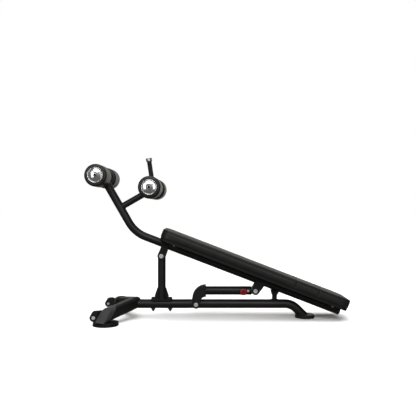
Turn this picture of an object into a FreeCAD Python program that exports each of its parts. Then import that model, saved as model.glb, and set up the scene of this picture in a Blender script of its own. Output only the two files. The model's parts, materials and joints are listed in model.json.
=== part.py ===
import FreeCAD, Part

# Adjustable decline bench for leg-anchored exercises.  A low steel base carries a column and a
# telescopic strut.  A bent rail tilts on top of the column and carries the pad, two pairs of foam
# rollers and a grab handle.  Units are millimetres, +Z is up, +X points to the low end of the pad,
# and the origin is the centre of the footprint on the floor.
import math
import os

V = FreeCAD.Vector

# Base
BEAM_D = 54.0
BEAM_WALL = 3.0
BEAM_Z = 83.0
BEAM_FRONT_X = -516.5
BEAM_BEND_X = 390.5
BEAM_BEND_R = 100.0
BEAM_TAIL = 80.0
REAR_FOOT_X = 510.5
REAR_FOOT_R = 58.0
REAR_ANCHOR_PCD = 88.0
REAR_ANCHOR_ANGLE = -56.0
FOOT_PAD_T = 10.0
FOOT_PLATE_T = 10.0
FOOT_TOP = FOOT_PAD_T + FOOT_PLATE_T
ANCHOR_R = 5.5
PLATE_CHAMFER = 2.0
RUBBER_CHAMFER = 1.0

# Swept front crossbar
LEG_SWEEP = 28.9
LEG_DROP = 7.1
LEG_W = 60.0
LEG_H = 70.0
LEG_CORNER = 22.0
LEG_WALL = 3.0
LEG_APEX_Z = 90.0
LEG_END_Y = 252.0
LEG_END_Z = 61.0
COVER_T = 4.0
COVER_WALL = 3.0
COVER_REACH = 26.0
LEG_REACH = 420.0
RISER_R = 24.0
RISER_H = 30.0
FRONT_FOOT_X = -651.5
FRONT_FOOT_Y = 241.0
FRONT_FOOT_R = 72.0
FRONT_ANCHOR_PCD = 100.0

# Transport wheels
WHEEL_X = -717.5
WHEEL_Z = 45.0
WHEEL_Y = 244.0
WHEEL_R = 23.0
WHEEL_W = 22.0
FORK_T = 5.0
FORK_R = 22.0
WHEEL_AXLE_R = 5.0

# Column and the pivot on top of it
PIVOT_X = -354.5
PIVOT_Z = 373.0
COLUMN_D = 48.0
COLUMN_WALL = 3.0
FLANGE_L = 126.0
FLANGE_W = 68.0
FLANGE_TOP = 116.0
FLANGE_T = 12.0
FLANGE_BOLT_X = 51.5
FLANGE_CORNER = 14.0
FLANGE_BOLT_R = 6.0
FLANGE_HOLE_R = 6.4
FLANGE_HEX = 18.0
NUT_SADDLE_L = 28.0
NUT_SADDLE_W = 26.0
GUSSET_TOP = 180.0
GUSSET_REACH = 46.5
GUSSET_SHOULDER = 27.0
GUSSET_LIP = 4.0
GUSSET_HALF_T = 4.0
GUSSET_BOLT_ROOM = 11.5
BOSS_R = 22.0
BOSS_HALF = 28.0
PIVOT_BOLT_R = 8.0
BUSH_R = 11.0
BUSH_FLANGE_R = 17.0
BUSH_FLANGE_T = 1.7
PIVOT_BUSH_L = 18.0
LUG_INNER = 30.0
LUG_T = 7.0
TILT_LUG_R = 23.5
TILT_LUG_HALF = 21.0
RUN_FIT = 0.05

# Rail, pad and roller frame, set out in a level frame and then tilted
TILT = 21.0
RAIL_Z = 314.6
RAIL_D = 48.0
RAIL_WALL = 3.0
RAIL_END = 765.0
CORNER_U = -554.3
CORNER_R = 200.0
ARM_BEND = 39.1
ARM_LENGTH = 385.0
ARM_TAIL = 40.0
BRANCH_AT = 175.0
BRANCH_LENGTH = 229.0
BRANCH_D = 38.0
BRANCH_WALL = 3.0
HUB_R = 23.0
HUB_HALF = 34.0
PLUG_STEM = 25.0
PLUG_HEAD = 7.0
PLUG_EDGE = 5.5
LUG_BRIDGE_INSET = 6.0

# Foam rollers
AXLE_R = 12.7
AXLE_WALL = 2.5
AXLE_HALF = 254.5
CORE_R = 17.0
FOAM_R = 66.5
FOAM_INNER_Y = 75.0
FOAM_OUTER_Y = 253.0
FOAM_EDGE = 7.0
COLLAR_R = 27.0
COLLAR_T = 6.0
CAP_R = 46.5
CAP_GAP = 0.6
DOME_R = 17.0
DOME_H = 5.5

# Grab handle
HANDLE_LEAN = 8.4
HANDLE_TUBE_R = 12.0
HANDLE_WALL = 2.5
GRIP_R = 14.2
GRIP_START = 60.0
GRIP_END = 166.0
HANDLE_CAP_R = 18.5
HANDLE_CAP_T = 20.0
HANDLE_CAP_EDGE = 2.0
HANDLE_STEM = 20.0

# Pad
PAD_START = -396.5
PAD_END = 785.5
PAD_W = 300.0
BOARD_T = 15.0
BOARD_INSET = 5.0
PAD_T = 68.0
PAD_CORNER = 50.0
PAD_EDGE = 11.0
SADDLE_U = (-304.5, 716.0)
SADDLE_L = 50.0
SADDLE_T = 3.0
SADDLE_REACH = 78.0
SADDLE_BOLT_W = 14.5
SADDLE_BOLT_R = 4.0
SADDLE_HOLE_R = 4.2
SADDLE_GAP = 0.1
BOARD_GAP = 0.3
SCREW_R = 3.0
SCREW_INSET = 18.0

# Telescopic strut under the rail
STRUT_X = -146.5
STRUT_Z = 81.5
STRUT_TOP_X = 210.5
STRUT_AXIS_Z = 162.7
STRUT_START = -86.5
STRUT_END = 184.5
STRUT_D = 52.0
STRUT_WALL = 3.5
INNER_D = 42.0
INNER_WALL = 3.0
INNER_START = -62.0
INNER_END = 193.0
BUSH_LENGTH = 48.0
ELBOW_R = 24.0
ELBOW_INNER = 28.3
ELBOW_T = 6.0
ELBOW_HALF = 34.0
ELBOW_END_T = 8.0
STRUT_BOLT_R = 6.0
SLEEVE_R = 10.0
STRUT_LUG_R = 24.0
STRUT_LUG_BACK = 42.0
STRUT_LUG_FRONT = -16.0
EYE_R = 20.0
EYE_HALF = 20.0
EYE_HOLE_R = 13.5
EYE_PLUG_L = 40.0
PIN_X = 136.0
PIN_R = 4.5
PIN_HOLES = 7
PIN_TRAVEL_X = 129.0
PIN_HOLE_R = 6.5
SLOT_END = 5.0
SLOT_W = 10.0
KNOB_R = 18.5
KNOB_START = -49.0
KNOB_CAP_R = 8.9
BUSH_SCREW_X = PIN_X + 31.0
BUSH_SCREW_R = 3.0

# Rest stop for the rail
STOP_X = 328.0
STOP_POST_R = 15.0
STOP_PAD_L = 48.0
STOP_PAD_W = 42.0
STOP_PAD_T = 10.0
STOP_PAD_SHIFT = 12.0
STOP_PAD_CORNER = 8.0
FLARE_Z = 132.0
FLARE_H = 20.0
FLARE_GROWTH = 8.0
REST_GAP = 0.3


def box(x0, x1, y0, y1, z0, z1):
    return Part.makeBox(x1 - x0, y1 - y0, z1 - z0, V(x0, y0, z0))


def rod(radius, start, end):
    return Part.makeCylinder(radius, (end - start).Length, start, end - start)


def cross_rod(radius, x, z, y0, y1):
    """A round bar that runs across the bench, along Y."""
    return rod(radius, V(x, y0, z), V(x, y1, z))


def post(radius, x, y, z0, z1):
    return rod(radius, V(x, y, z0), V(x, y, z1))


def mirrored(shape):
    return shape.mirror(V(0, 0, 0), V(0, 1, 0))


def both_sides(shape):
    return Part.makeCompound([shape, mirrored(shape)])


def sweep_round(radius, wire):
    """A round bar swept along a wire that starts with a straight edge."""
    edge = wire.Edges[0]
    start = wire.Vertexes[0].Point
    direction = edge.tangentAt(edge.FirstParameter)
    ring = Part.Wire([Part.makeCircle(radius, start, direction)])
    return wire.makePipeShell([ring], True, True)


def extruded_xz(wire, y0, y1):
    """A flat plate whose outline lies in an XZ plane."""
    face = Part.Face(wire)
    face.translate(V(0, y0, 0))
    return face.extrude(V(0, y1 - y0, 0))


def polygon_xz(points):
    corners = [V(x, 0, z) for x, z in points]
    return Part.makePolygon(corners + corners[:1])


def tangent_point(centre, radius, point, side):
    """Where the line from an outside point touches a circle in the XZ plane."""
    to_point = point - centre
    angle = math.atan2(to_point.z, to_point.x) + side * math.acos(radius / to_point.Length)
    return centre + V(radius * math.cos(angle), 0, radius * math.sin(angle))


def lug_outline(pivot, radius, first, second):
    """A lug that is round about its pivot and runs to the straight edge between two points."""
    a = tangent_point(pivot, radius, first, -1)
    b = tangent_point(pivot, radius, second, 1)
    away = pivot - (first + second) * 0.5
    tip = pivot + away * (radius / away.Length)
    return Part.Wire([
        Part.makeLine(first, a),
        Part.Arc(a, tip, b).toShape(),
        Part.makeLine(b, second),
        Part.makeLine(second, first),
    ])


def hex_prism(across_flats, height, centre, direction):
    """A nut or bolt head; it starts at centre and grows along direction."""
    corner = across_flats / math.sqrt(3)
    points = []
    for i in range(6):
        angle = math.radians(60 * i)
        points.append(V(corner * math.cos(angle), corner * math.sin(angle), 0))
    prism = Part.Face(Part.makePolygon(points + points[:1])).extrude(V(0, 0, height))
    turn = FreeCAD.Rotation(V(0, 0, 1), direction)
    prism.Placement = FreeCAD.Placement(centre, turn)
    return prism


def round_head(radius, height, centre, direction):
    """A low domed bolt head with a hexagon socket."""
    head = Part.makeCylinder(radius, height, centre, direction)
    far_edge = max(head.Edges, key=lambda e: (e.CenterOfMass - centre).dot(direction))
    head = head.makeFillet(height * 0.45, [far_edge])
    socket = hex_prism(radius * 0.85, height * 0.6, centre + direction * height * 0.5, direction)
    return head.cut(socket)


def cross_bolt(x, z, shank_r, head_r, head_h, y_head, y_nut, nut_h):
    """A bolt along Y with its domed head on the left, and its nut on the right."""
    shank = cross_rod(shank_r, x, z, y_head, y_nut + nut_h + 3)
    bolt = shank.fuse(round_head(head_r, head_h, V(x, y_head, z), V(0, -1, 0)))
    nut = hex_prism(shank_r * 3, nut_h, V(x, y_nut, z), V(0, 1, 0))
    return Part.makeCompound([bolt, nut.cut(shank)])


def tilted(shape):
    """Moves a shape from the rail's level frame to the tilted rail."""
    shape = shape.copy()
    shape.rotate(V(0, 0, 0), V(0, 1, 0), TILT)
    shape.translate(V(0, 0, RAIL_Z))
    return shape


def level_point(x, z):
    """The place of a point of the bench in the rail's level frame."""
    turn = FreeCAD.Rotation(V(0, 1, 0), -TILT)
    return turn.multVec(V(x, 0, z - RAIL_Z))


# ---------------------------------------------------------------- base

def beam_wire():
    turn = math.radians(45)
    start = V(BEAM_FRONT_X, 0, BEAM_Z)
    bend = V(BEAM_BEND_X, 0, BEAM_Z)

    def on_arc(angle):
        x = BEAM_BEND_X + BEAM_BEND_R * math.sin(angle)
        return V(x, 0, BEAM_Z - BEAM_BEND_R * (1 - math.cos(angle)))

    down = on_arc(turn)
    end = down + V(math.cos(turn), 0, -math.sin(turn)) * BEAM_TAIL
    return Part.Wire([
        Part.makeLine(start, bend),
        Part.Arc(bend, on_arc(turn / 2), down).toShape(),
        Part.makeLine(down, end),
    ])


def leg_prism(inset, reach):
    """One leg of the crossbar as a full bar, from the centre plane out to the left."""
    w = LEG_W - 2 * inset
    h = LEG_H - 2 * inset
    profile = box(0, reach + 60, -w / 2, w / 2, -h / 2, h / 2)
    long_edges = [e for e in profile.Edges if abs(e.tangentAt(e.FirstParameter).x) > 0.99]
    profile = profile.makeFillet(LEG_CORNER - inset, long_edges)
    profile.translate(V(-60, 0, 0))
    profile.rotate(V(0, 0, 0), V(0, 1, 0), LEG_DROP)
    profile.rotate(V(0, 0, 0), V(0, 0, 1), 180 + 90 - LEG_SWEEP)
    profile.translate(V(BEAM_FRONT_X, 0, LEG_APEX_Z))
    return profile.cut(box(-2000, 2000, 0, 2000, -2000, 2000))


def leg_direction():
    angle = math.radians(LEG_SWEEP)
    return V(-math.sin(angle), -math.cos(angle), 0)


def beyond_leg_end(offset):
    """The half space outside the sloping end of the left leg, moved out by offset."""
    normal = (leg_direction() + V(0, 0, 1)).normalize()
    centre = V(BEAM_FRONT_X, 0, 0) + leg_direction() * (LEG_END_Y / -leg_direction().y)
    centre.z = LEG_END_Z
    block = Part.makeBox(400, 400, 400, V(-200, -200, 0))
    turn = FreeCAD.Rotation(V(0, 0, 1), normal)
    block.Placement = FreeCAD.Placement(centre + normal * offset, turn)
    return block


def crossbar_outer():
    leg = leg_prism(0, LEG_REACH).cut(beyond_leg_end(0))
    leg = leg.cut(box(-2000, 2000, -2000, 0, -500, FOOT_TOP))
    return leg.fuse(mirrored(leg)).removeSplitter()


def crossbar_inner():
    leg = leg_prism(LEG_WALL, LEG_REACH)
    return leg.fuse(mirrored(leg))


def main_beam():
    bar = sweep_round(BEAM_D / 2, beam_wire())
    bore = sweep_round(BEAM_D / 2 - BEAM_WALL, beam_wire())
    tube = bar.cut(bore).cut(crossbar_outer())
    tube = tube.cut(box(0, 2000, -200, 200, -200, FOOT_TOP))
    for side in (-1, 1):
        tube = tube.cut(post(FLANGE_HOLE_R, PIVOT_X + side * FLANGE_BOLT_X, 0, 0, FLANGE_TOP))
    tube = tube.cut(cross_rod(SLEEVE_R, STRUT_X, STRUT_Z, -60, 60))
    return max(tube.Solids, key=lambda s: s.Volume)


def foot_disc(radius, x, y, z0, z1, edge):
    disc = post(radius, x, y, z0, z1)
    rim = [e for e in disc.Edges if len(e.Vertexes) == 1 and abs(e.CenterOfMass.z - z1) < 0.1]
    return disc.makeChamfer(edge, rim)


def drilled(plate, pad, x, y, pcd, angle):
    """Two anchor holes, opposite each other, through a foot plate and its rubber pad."""
    for turn in (angle, angle + 180):
        dx = pcd / 2 * math.cos(math.radians(turn))
        dy = pcd / 2 * math.sin(math.radians(turn))
        hole = post(ANCHOR_R, x + dx, y + dy, -5, FOOT_TOP + 5)
        plate = plate.cut(hole)
        pad = pad.cut(hole)
    return plate, pad


def rear_foot():
    plate = foot_disc(REAR_FOOT_R, REAR_FOOT_X, 0, FOOT_PAD_T, FOOT_TOP, PLATE_CHAMFER)
    pad = foot_disc(REAR_FOOT_R, REAR_FOOT_X, 0, 0, FOOT_PAD_T, RUBBER_CHAMFER)
    return drilled(plate, pad, REAR_FOOT_X, 0, REAR_ANCHOR_PCD, REAR_ANCHOR_ANGLE)


def front_foot():
    """The left plate, with the short riser that meets the leg, and its rubber pad."""
    x = FRONT_FOOT_X
    y = -FRONT_FOOT_Y
    plate = foot_disc(FRONT_FOOT_R, x, y, FOOT_PAD_T, FOOT_TOP, PLATE_CHAMFER)
    pad = foot_disc(FRONT_FOOT_R, x, y, 0, FOOT_PAD_T, RUBBER_CHAMFER)
    riser = foot_riser(FOOT_TOP - 1, FOOT_TOP + RISER_H)
    plate = plate.fuse(riser).cut(leg_prism(0, LEG_REACH))
    plate = max(plate.Solids, key=lambda s: s.Volume)
    return drilled(plate, pad, x, y, FRONT_ANCHOR_PCD, -LEG_SWEEP)


def foot_riser(z0, z1):
    """The short round post between the left foot plate and its leg."""
    return post(RISER_R, FRONT_FOOT_X, -FRONT_FOOT_Y, z0, z1)


def leg_end_cover():
    """A plastic boot that closes the left leg's sloping end and wraps its sides."""
    shell = leg_prism(-COVER_WALL, LEG_REACH).cut(beyond_leg_end(COVER_T))
    shell = shell.common(beyond_leg_end(-COVER_REACH))
    shell = shell.cut(leg_prism(0, LEG_REACH).cut(beyond_leg_end(0)))
    shell = shell.cut(box(-2000, 2000, -2000, 0, -500, FOOT_TOP + 0.5))
    shell = shell.cut(foot_riser(0, FOOT_TOP + RISER_H).cut(leg_prism(0, LEG_REACH)))
    return max(shell.Solids, key=lambda s: s.Volume)


def wheel_fork():
    pivot = V(WHEEL_X, 0, WHEEL_Z)
    behind = V(WHEEL_X + 62, 0, WHEEL_Z - 14)
    outline = lug_outline(pivot, FORK_R, behind, behind + V(0, 0, 55))
    shoulder = V(WHEEL_X - 5, 0, WHEEL_Z + 35)
    brow = lug_outline(pivot, FORK_R, behind + V(0, 0, 55), shoulder)
    bore = cross_rod(WHEEL_AXLE_R + 0.1, WHEEL_X, WHEEL_Z, -400, 0)
    riser = foot_riser(0, FOOT_TOP + RISER_H)
    cover = leg_prism(-COVER_WALL, LEG_REACH).common(beyond_leg_end(-COVER_REACH))
    cheeks = []
    for side in (-1, 1):
        inner = -WHEEL_Y + side * (WHEEL_W / 2 + 1)
        outer = inner + side * FORK_T
        cheek = extruded_xz(outline, min(inner, outer), max(inner, outer))
        cheek = cheek.fuse(extruded_xz(brow, min(inner, outer), max(inner, outer)))
        cheek = cheek.removeSplitter().cut(leg_prism(0, LEG_REACH)).cut(bore).cut(riser).cut(cover)
        cheeks.append(min(cheek.Solids, key=lambda s: s.CenterOfMass.x))
    return Part.makeCompound(cheeks)


def wheel():
    """A moulded roller wheel with a crowned tread and dished faces."""
    half = WHEEL_W / 2
    bore = WHEEL_AXLE_R + RUN_FIT
    profile = [(bore, -half), (9, -half), (10, -half + 2), (17, -half + 2), (18, -half),
               (WHEEL_R - 3, -half), (WHEEL_R, -half + 4), (WHEEL_R, half - 4),
               (WHEEL_R - 3, half), (18, half), (17, half - 2), (10, half - 2), (9, half),
               (bore, half)]
    points = [V(r, y, 0) for r, y in profile]
    body = Part.Face(Part.makePolygon(points + points[:1])).revolve(V(0, 0, 0), V(0, 1, 0), 360)
    body.translate(V(WHEEL_X, -WHEEL_Y, WHEEL_Z))
    return body


def wheel_axle():
    outside = WHEEL_W / 2 + 1 + FORK_T
    return cross_bolt(WHEEL_X, WHEEL_Z, WHEEL_AXLE_R, 10, 5,
                      -WHEEL_Y - outside, -WHEEL_Y + outside, 6)


def column():
    tube = post(COLUMN_D / 2, PIVOT_X, 0, FLANGE_TOP, PIVOT_Z)
    tube = tube.cut(post(COLUMN_D / 2 - COLUMN_WALL, PIVOT_X, 0, 0, PIVOT_Z))
    boss = cross_rod(BOSS_R, PIVOT_X, PIVOT_Z, -BOSS_HALF, BOSS_HALF)
    whole = tube.fuse(boss).cut(cross_rod(BUSH_R, PIVOT_X, PIVOT_Z, -100, 100))
    return whole.removeSplitter()


def column_flange():
    x0 = PIVOT_X - FLANGE_L / 2
    x1 = PIVOT_X + FLANGE_L / 2
    plate = box(x0, x1, -FLANGE_W / 2, FLANGE_W / 2, FLANGE_TOP - FLANGE_T, FLANGE_TOP)
    upright = [e for e in plate.Edges if abs(e.tangentAt(e.FirstParameter).z) > 0.99]
    plate = plate.makeFillet(FLANGE_CORNER, upright)
    plate = plate.cut(rod(BEAM_D / 2, V(x0 - 5, 0, BEAM_Z), V(x1 + 5, 0, BEAM_Z)))
    for side in (-1, 1):
        plate = plate.cut(post(FLANGE_HOLE_R, PIVOT_X + side * FLANGE_BOLT_X, 0, 0, 200))
    return plate


def column_gusset():
    outline = polygon_xz([
        (PIVOT_X - GUSSET_SHOULDER, GUSSET_TOP), (PIVOT_X - GUSSET_REACH, FLANGE_TOP + GUSSET_LIP),
        (PIVOT_X - GUSSET_REACH, FLANGE_TOP), (PIVOT_X, FLANGE_TOP), (PIVOT_X, GUSSET_TOP),
    ])
    fin = extruded_xz(outline, -GUSSET_HALF_T, GUSSET_HALF_T)
    bolt_x = PIVOT_X - FLANGE_BOLT_X
    bolt_room = post(GUSSET_BOLT_ROOM, bolt_x, 0, FLANGE_TOP - 1, FLANGE_TOP + 12)
    return fin.cut(post(COLUMN_D / 2, PIVOT_X, 0, 0, 400)).cut(bolt_room)


def flange_bolts():
    bolts = []
    for side in (-1, 1):
        x = PIVOT_X + side * FLANGE_BOLT_X
        shank = post(FLANGE_BOLT_R, x, 0, 38, FLANGE_TOP + 1)
        head = hex_prism(FLANGE_HEX, 8, V(x, 0, FLANGE_TOP), V(0, 0, 1))
        bolts.append(shank.fuse(head))
    return Part.makeCompound(bolts)


def flange_nuts():
    nuts = []
    for side in (-1, 1):
        x = PIVOT_X + side * FLANGE_BOLT_X
        saddle = box(x - NUT_SADDLE_L / 2, x + NUT_SADDLE_L / 2, -NUT_SADDLE_W / 2, NUT_SADDLE_W / 2,
                     54, 62)
        saddle = saddle.cut(rod(BEAM_D / 2, V(x - 20, 0, BEAM_Z), V(x + 20, 0, BEAM_Z)))
        saddle = max(saddle.Solids, key=lambda s: s.Volume)
        nut = hex_prism(FLANGE_HEX, 9, V(x, 0, 45), V(0, 0, 1)).fuse(saddle)
        nuts.append(nut.cut(post(FLANGE_BOLT_R + 0.02, x, 0, 0, 100)))
    return Part.makeCompound(nuts)


def pivot_bush(side):
    """A flanged bronze bush pressed into one end of the column's boss."""
    face = side * BOSS_HALF
    outer = face + side * BUSH_FLANGE_T
    inside = face - side * PIVOT_BUSH_L
    body = cross_rod(BUSH_R, PIVOT_X, PIVOT_Z, min(inside, outer), max(inside, outer))
    flange = cross_rod(BUSH_FLANGE_R, PIVOT_X, PIVOT_Z, min(face, outer), max(face, outer))
    bore = cross_rod(PIVOT_BOLT_R + RUN_FIT, PIVOT_X, PIVOT_Z, -100, 100)
    return body.fuse(flange).cut(bore).removeSplitter()


def stop_slab(low, high):
    """A slab parallel to the rail's underside, between two depths below it."""
    underside = -RAIL_D / 2 - REST_GAP
    post_top = level_point(STOP_X, RAIL_Z - math.tan(math.radians(TILT)) * STOP_X)
    middle = post_top.x + STOP_PAD_SHIFT
    slab = box(middle - STOP_PAD_L / 2, middle + STOP_PAD_L / 2, -STOP_PAD_W / 2, STOP_PAD_W / 2,
               underside - high, underside - low)
    upright = [e for e in slab.Edges if abs(e.tangentAt(e.FirstParameter).z) > 0.99]
    return tilted(slab.makeFillet(STOP_PAD_CORNER, upright))


def stop_post():
    top = RAIL_Z - RAIL_D / 2
    tube = post(STOP_POST_R, STOP_X, 0, BEAM_Z, top)
    base = Part.makeCone(STOP_POST_R + 6, STOP_POST_R, 8, V(STOP_X, 0, BEAM_Z + BEAM_D / 2 - 3))
    wide = STOP_POST_R + FLARE_GROWTH
    flare = Part.makeCone(STOP_POST_R, wide, FLARE_H, V(STOP_X + 1, 0, FLARE_Z))
    flare = flare.fuse(post(wide, STOP_X + 1, 0, FLARE_Z + FLARE_H, top))
    above = box(-800, 1200, -100, 100, -RAIL_D / 2 - REST_GAP - STOP_PAD_T, 600)
    flare = flare.common(stop_slab(STOP_PAD_T, STOP_PAD_T + 40))
    beam = rod(BEAM_D / 2, V(STOP_X - 60, 0, BEAM_Z), V(STOP_X + 60, 0, BEAM_Z))
    whole = tube.fuse(base).fuse(flare).cut(tilted(above)).cut(beam)
    return whole.removeSplitter()


def stop_bumper():
    return stop_slab(0, STOP_PAD_T)


# ---------------------------------------------------------------- rail and roller frame

def arm_direction(turn=ARM_BEND):
    angle = math.radians(180 - turn)
    return V(math.cos(angle), 0, math.sin(angle))


def arm_point(distance):
    """A point of the arm's axis, measured from where it meets the rail's axis."""
    return V(CORNER_U, 0, 0) + arm_direction() * distance


def branch_direction():
    turn = FreeCAD.Rotation(V(0, 1, 0), 90)
    return turn.multVec(arm_direction())


def hub_centre():
    return arm_point(BRANCH_AT) + branch_direction() * BRANCH_LENGTH


def rail_wire(start, end):
    reach = CORNER_R * math.tan(math.radians(ARM_BEND / 2))
    low = V(CORNER_U + reach, 0, 0)
    high = arm_point(reach)
    centre = low + V(0, 0, CORNER_R)
    to_corner = V(CORNER_U, 0, 0) - centre
    middle = centre + to_corner * (CORNER_R / to_corner.Length)
    return Part.Wire([
        Part.makeLine(V(start, 0, 0), low),
        Part.Arc(low, middle, high).toShape(),
        Part.makeLine(high, arm_point(end)),
    ])


def rail_tube():
    wire = rail_wire(RAIL_END, ARM_LENGTH + ARM_TAIL)
    tube = sweep_round(RAIL_D / 2, wire).cut(sweep_round(RAIL_D / 2 - RAIL_WALL, wire))
    foot_axle = arm_point(ARM_LENGTH)
    tube = tube.cut(cross_rod(AXLE_R, foot_axle.x, foot_axle.z, -100, 100))
    for u in SADDLE_U:
        tube = tube.cut(cross_rod(SADDLE_HOLE_R, u, SADDLE_BOLT_W, -100, 100))
    return tube


def end_plug(centre, direction, radius):
    """A plastic plug with a domed head that closes the end of a tube."""
    stem = rod(radius - RAIL_WALL, centre - direction * PLUG_STEM, centre)
    head = rod(radius, centre, centre + direction * PLUG_HEAD)
    far_edge = max(head.Edges, key=lambda e: (e.CenterOfMass - centre).dot(direction))
    return stem.fuse(head.makeFillet(PLUG_EDGE, [far_edge]))


def lug_channel(pivot, radius, front, back, inner, thickness, bolt_r):
    """Two lug plates on a bridge under the rail, with the pivot's hole through both."""
    top = -5.0
    outline = lug_outline(pivot, radius, V(pivot.x + back, 0, top), V(pivot.x + front, 0, top))
    left = extruded_xz(outline, -inner - thickness, -inner)
    bridge = box(pivot.x + front + LUG_BRIDGE_INSET, pivot.x + back - LUG_BRIDGE_INSET,
                 -inner, inner, -30, -10)
    whole = left.fuse(mirrored(left)).fuse(bridge)
    whole = whole.cut(rod(RAIL_D / 2, V(pivot.x - 200, 0, 0), V(pivot.x + 200, 0, 0)))
    return whole.cut(cross_rod(bolt_r, pivot.x, pivot.z, -100, 100)).removeSplitter()


def tilt_lugs():
    pivot = level_point(PIVOT_X, PIVOT_Z)
    return lug_channel(pivot, TILT_LUG_R, -TILT_LUG_HALF, TILT_LUG_HALF,
                       LUG_INNER, LUG_T, PIVOT_BOLT_R)


def strut_lugs():
    pivot = level_point(STRUT_TOP_X, STRUT_AXIS_Z)
    return lug_channel(pivot, STRUT_LUG_R, STRUT_LUG_FRONT, STRUT_LUG_BACK,
                       ELBOW_INNER, ELBOW_T, STRUT_BOLT_R)


def branch_tube():
    hub = hub_centre()
    bar = rod(BRANCH_D / 2, arm_point(BRANCH_AT), hub)
    bar = bar.cut(rod(BRANCH_D / 2 - BRANCH_WALL, arm_point(BRANCH_AT), hub))
    bar = bar.cut(rod(RAIL_D / 2, arm_point(0), arm_point(BRANCH_AT * 2)))
    bar = bar.cut(cross_rod(HUB_R, hub.x, hub.z, -60, 60))
    return max(bar.Solids, key=lambda s: s.Volume)


def branch_hub():
    hub = hub_centre()
    body = cross_rod(HUB_R, hub.x, hub.z, -HUB_HALF, HUB_HALF)
    return body.cut(cross_rod(AXLE_R, hub.x, hub.z, -60, 60))


def handle_direction():
    angle = math.radians(90 + HANDLE_LEAN + TILT)
    return V(math.cos(angle), 0, math.sin(angle))


def handle_post():
    hub = hub_centre()
    bar = rod(HANDLE_TUBE_R, hub, hub + handle_direction() * GRIP_END)
    bar = bar.cut(rod(HANDLE_TUBE_R - HANDLE_WALL, hub, hub + handle_direction() * (GRIP_END + 5)))
    bar = bar.cut(cross_rod(HUB_R, hub.x, hub.z, -60, 60))
    return max(bar.Solids, key=lambda s: s.Volume)


def handle_grip():
    hub = hub_centre()
    grip = rod(GRIP_R, hub + handle_direction() * GRIP_START, hub + handle_direction() * GRIP_END)
    return grip.cut(rod(HANDLE_TUBE_R, hub, hub + handle_direction() * 300))


def handle_cap():
    top = hub_centre() + handle_direction() * GRIP_END
    head = rod(HANDLE_CAP_R, top, top + handle_direction() * HANDLE_CAP_T)
    rims = [e for e in head.Edges if len(e.Vertexes) == 1 and e.Closed]
    head = head.makeChamfer(HANDLE_CAP_EDGE, rims[:2])
    stem = rod(HANDLE_TUBE_R - HANDLE_WALL, top - handle_direction() * HANDLE_STEM, top)
    return head.fuse(stem)


def roller_axle(centre):
    bar = cross_rod(AXLE_R, centre.x, centre.z, -AXLE_HALF, AXLE_HALF)
    return bar.cut(cross_rod(AXLE_R - AXLE_WALL, centre.x, centre.z, -AXLE_HALF - 1, AXLE_HALF + 1))


def roller_collar(centre):
    """A steel ring on the axle that keeps the left roller from sliding inwards."""
    y1 = -FOAM_INNER_Y + CAP_GAP + COLLAR_T
    ring = cross_rod(COLLAR_R, centre.x, centre.z, -FOAM_INNER_Y + CAP_GAP, y1)
    return ring.cut(cross_rod(AXLE_R, centre.x, centre.z, -300, 300))


def roller_foam(centre):
    foam = cross_rod(FOAM_R, centre.x, centre.z, -FOAM_OUTER_Y, -FOAM_INNER_Y)
    rims = [e for e in foam.Edges if len(e.Vertexes) == 1 and e.Closed]
    foam = foam.makeFillet(FOAM_EDGE, rims[:2])
    return foam.cut(cross_rod(CORE_R, centre.x, centre.z, -300, 0))


def roller_core(centre):
    core = cross_rod(CORE_R, centre.x, centre.z, -FOAM_OUTER_Y, -FOAM_INNER_Y)
    return core.cut(cross_rod(AXLE_R + RUN_FIT, centre.x, centre.z, -300, 0))


def roller_cap(centre):
    """A spun end cap with a rolled rim, a dished face and a domed middle."""
    base = -FOAM_OUTER_Y - CAP_GAP
    dome_edge = V(DOME_R, base - 6, 0)
    crown = V(0, base - 6 - DOME_H, 0)
    sphere_r = (DOME_R ** 2 + DOME_H ** 2) / (2 * DOME_H)
    drop = sphere_r - math.sqrt(sphere_r ** 2 - DOME_R ** 2 / 4)
    back = [V(0, base - 3, 0), V(CAP_R - 4, base - 3, 0), V(CAP_R - 3, base, 0),
            V(CAP_R, base, 0), V(CAP_R, base - 4, 0)]
    rim = V(CAP_R - 3, base - 7, 0)
    dish = V(CAP_R - 8, base - 6, 0)
    edges = [Part.makeLine(back[i], back[i + 1]) for i in range(4)]
    edges.append(Part.Arc(back[4], V(CAP_R - 0.9, base - 6.1, 0), rim).toShape())
    edges.append(Part.Arc(rim, V(CAP_R - 5.5, base - 7.2, 0), dish).toShape())
    edges.append(Part.Arc(dish, V(28, base - 4.8, 0), dome_edge).toShape())
    edges.append(Part.Arc(dome_edge, V(DOME_R / 2, crown.y + drop, 0), crown).toShape())
    edges.append(Part.makeLine(crown, back[0]))
    cap = Part.Face(Part.Wire(edges)).revolve(V(0, 0, 0), V(0, 1, 0), 360)
    cap = cap.fuse(rod(AXLE_R - AXLE_WALL, V(0, base - 3.5, 0), V(0, 25 - AXLE_HALF, 0)))
    cap.translate(V(centre.x, 0, centre.z))
    return cap


# ---------------------------------------------------------------- pad

def pad_block(inset, low, high):
    block = box(PAD_START + inset, PAD_END - inset, -PAD_W / 2 + inset, PAD_W / 2 - inset, low, high)
    upright = [e for e in block.Edges if abs(e.tangentAt(e.FirstParameter).z) > 0.99]
    return block.makeFillet(PAD_CORNER - inset, upright)


def pad_board():
    bottom = RAIL_D / 2 + BOARD_GAP
    board = pad_block(BOARD_INSET, bottom, bottom + BOARD_T)
    for u, y in saddle_screw_places():
        board = board.cut(post(SCREW_R, u, y, bottom - 1, bottom + BOARD_T - 2))
    return board


def pad_cushion():
    bottom = RAIL_D / 2 + BOARD_GAP
    block = pad_block(0, bottom + BOARD_T, bottom + PAD_T)
    rim = [e for e in block.Edges if abs(e.CenterOfMass.z - bottom - PAD_T) < 0.01]
    return block.makeFillet(PAD_EDGE, rim)


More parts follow.
